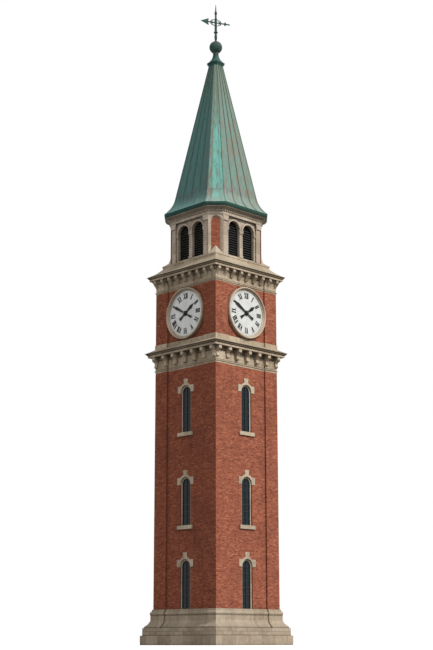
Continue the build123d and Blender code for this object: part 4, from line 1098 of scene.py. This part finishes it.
def scroll(middle, radius, start, end, curl=0.35, steps=40):
    """A C-scroll: an arc whose radius shrinks at both ends, so that it curls inwards there."""
    turn = np.linspace(start, end, steps)
    share = np.linspace(-1, 1, steps)
    size = radius * (1 - curl * np.abs(share) ** 3)
    return np.stack([middle[0] + size * np.cos(turn), middle[1] + size * np.sin(turn)], 1)


brace_radius = 0.022
rod = brace_radius * np.stack([np.cos(angle), np.sin(angle)], 1)
braces = []
sideways = np.array([[-np.sin(vane_heading), np.cos(vane_heading), 0.0]])
for middle, radius, start, end in (
    ((-0.10, 0.0), 0.24, 0.60 * np.pi, 1.40 * np.pi), ((0.10, 0.0), 0.24, -0.40 * np.pi, 0.40 * np.pi),
    ((-0.38, 0.0), 0.13, 1.62 * np.pi, 2.38 * np.pi), ((0.38, 0.0), 0.13, 0.62 * np.pi, 1.38 * np.pi),
):
    path = vane_line(scroll(middle, radius, start, end))
    braces.append(swept(path, np.repeat(sideways, len(path), 0), rod))
add_piece("vane_scrolls", *joined(braces), vane_copper, "weathervane", "weathered_copper", smooth=True)


# ---- studio ----------------------------------------------------------------------------------------
# A pale floor and an even sky, white to the camera, and one sun lamp high on the right of the camera.
def pale_to_rays(tree):
    """1 for what the camera sees, also in a gloss or through glass, and 0 for light on the object."""
    rays = join(tree, "LightPath", {}).outputs
    through = sum_of("MAXIMUM", rays["Is Glossy Ray"], rays["Is Transmission Ray"])
    return sum_of("MAXIMUM", rays["Is Camera Ray"], through)


floor_reach = 400.0
floor_grey = (0.15, 0.15, 0.15, 1)
floor_pale = (0.85, 0.85, 0.85, 1)
floor_glow = (0.28, 0.28, 0.28, 1)
corners = [(-1, -1, 0), (1, -1, 0), (1, 1, 0), (-1, 1, 0)]
floor = bpy.data.meshes.new("studio_floor")
floor.from_pydata([tuple(floor_reach * c for c in corner) for corner in corners], [], [(0, 1, 2, 3)])
floor_piece = bpy.data.objects.new("studio_floor", floor)
bpy.context.scene.collection.objects.link(floor_piece)
floor_paint = bpy.data.materials.new("studio floor")
floor_paint.use_nodes = True
tree = floor_paint.node_tree
shader = tree.nodes["Principled BSDF"]
seen = pale_to_rays(tree)
tree.links.new(blended(seen, floor_grey, floor_pale), shader.inputs["Base Color"])
shader.inputs["Roughness"].default_value = 0.9
shader.inputs["Specular IOR Level"].default_value = 0.0
tree.links.new(blended(seen, (0, 0, 0, 1), floor_glow), shader.inputs["Emission Color"])
shader.inputs["Emission Strength"].default_value = 1.0
floor.materials.append(floor_paint)

world = bpy.data.worlds.new("studio sky")
bpy.context.scene.world = world
world.use_nodes = True
tree = world.node_tree
tree.nodes.clear()
seen = pale_to_rays(tree)
sky_grey = (0.625, 0.625, 0.625, 1)
sky_white = (1, 1, 1, 1)
sky = join(tree, "Background", {"Color": blended(seen, sky_grey, sky_white), "Strength": 1.0})
tree.links.new(sky.outputs[0], join(tree, "OutputWorld", {}).inputs["Surface"])

lamp_data = bpy.data.lights.new("key lamp", "SUN")
lamp_data.energy = 2.44
lamp_data.angle = np.radians(5.0)
lamp_data.color = (1.0, 0.985, 0.96)
lamp = bpy.data.objects.new("key lamp", lamp_data)
bpy.context.scene.collection.objects.link(lamp)
lamp_height = 42  # degrees over the horizon
lamp.rotation_euler = (np.radians(90 - lamp_height), 0, np.radians(10))

camera_data = bpy.data.cameras.new("camera")
camera_data.lens = 73.72
camera_data.sensor_width = 36.0
camera_data.clip_end = 2000.0
camera = bpy.data.objects.new("camera", camera_data)
bpy.context.scene.collection.objects.link(camera)
camera_distance = 76.1316  # from the tower's axis
camera_height = 0.12
heading = np.radians(-44.5933)
look_up = 13.4362  # degrees
roll = 0.07
camera.location = (camera_distance * np.sin(heading), -camera_distance * np.cos(heading), camera_height)
camera.rotation_euler = (np.radians(90 + look_up), np.radians(roll), heading)
bpy.context.scene.camera = camera
bpy.context.scene.view_settings.view_transform = "Standard"
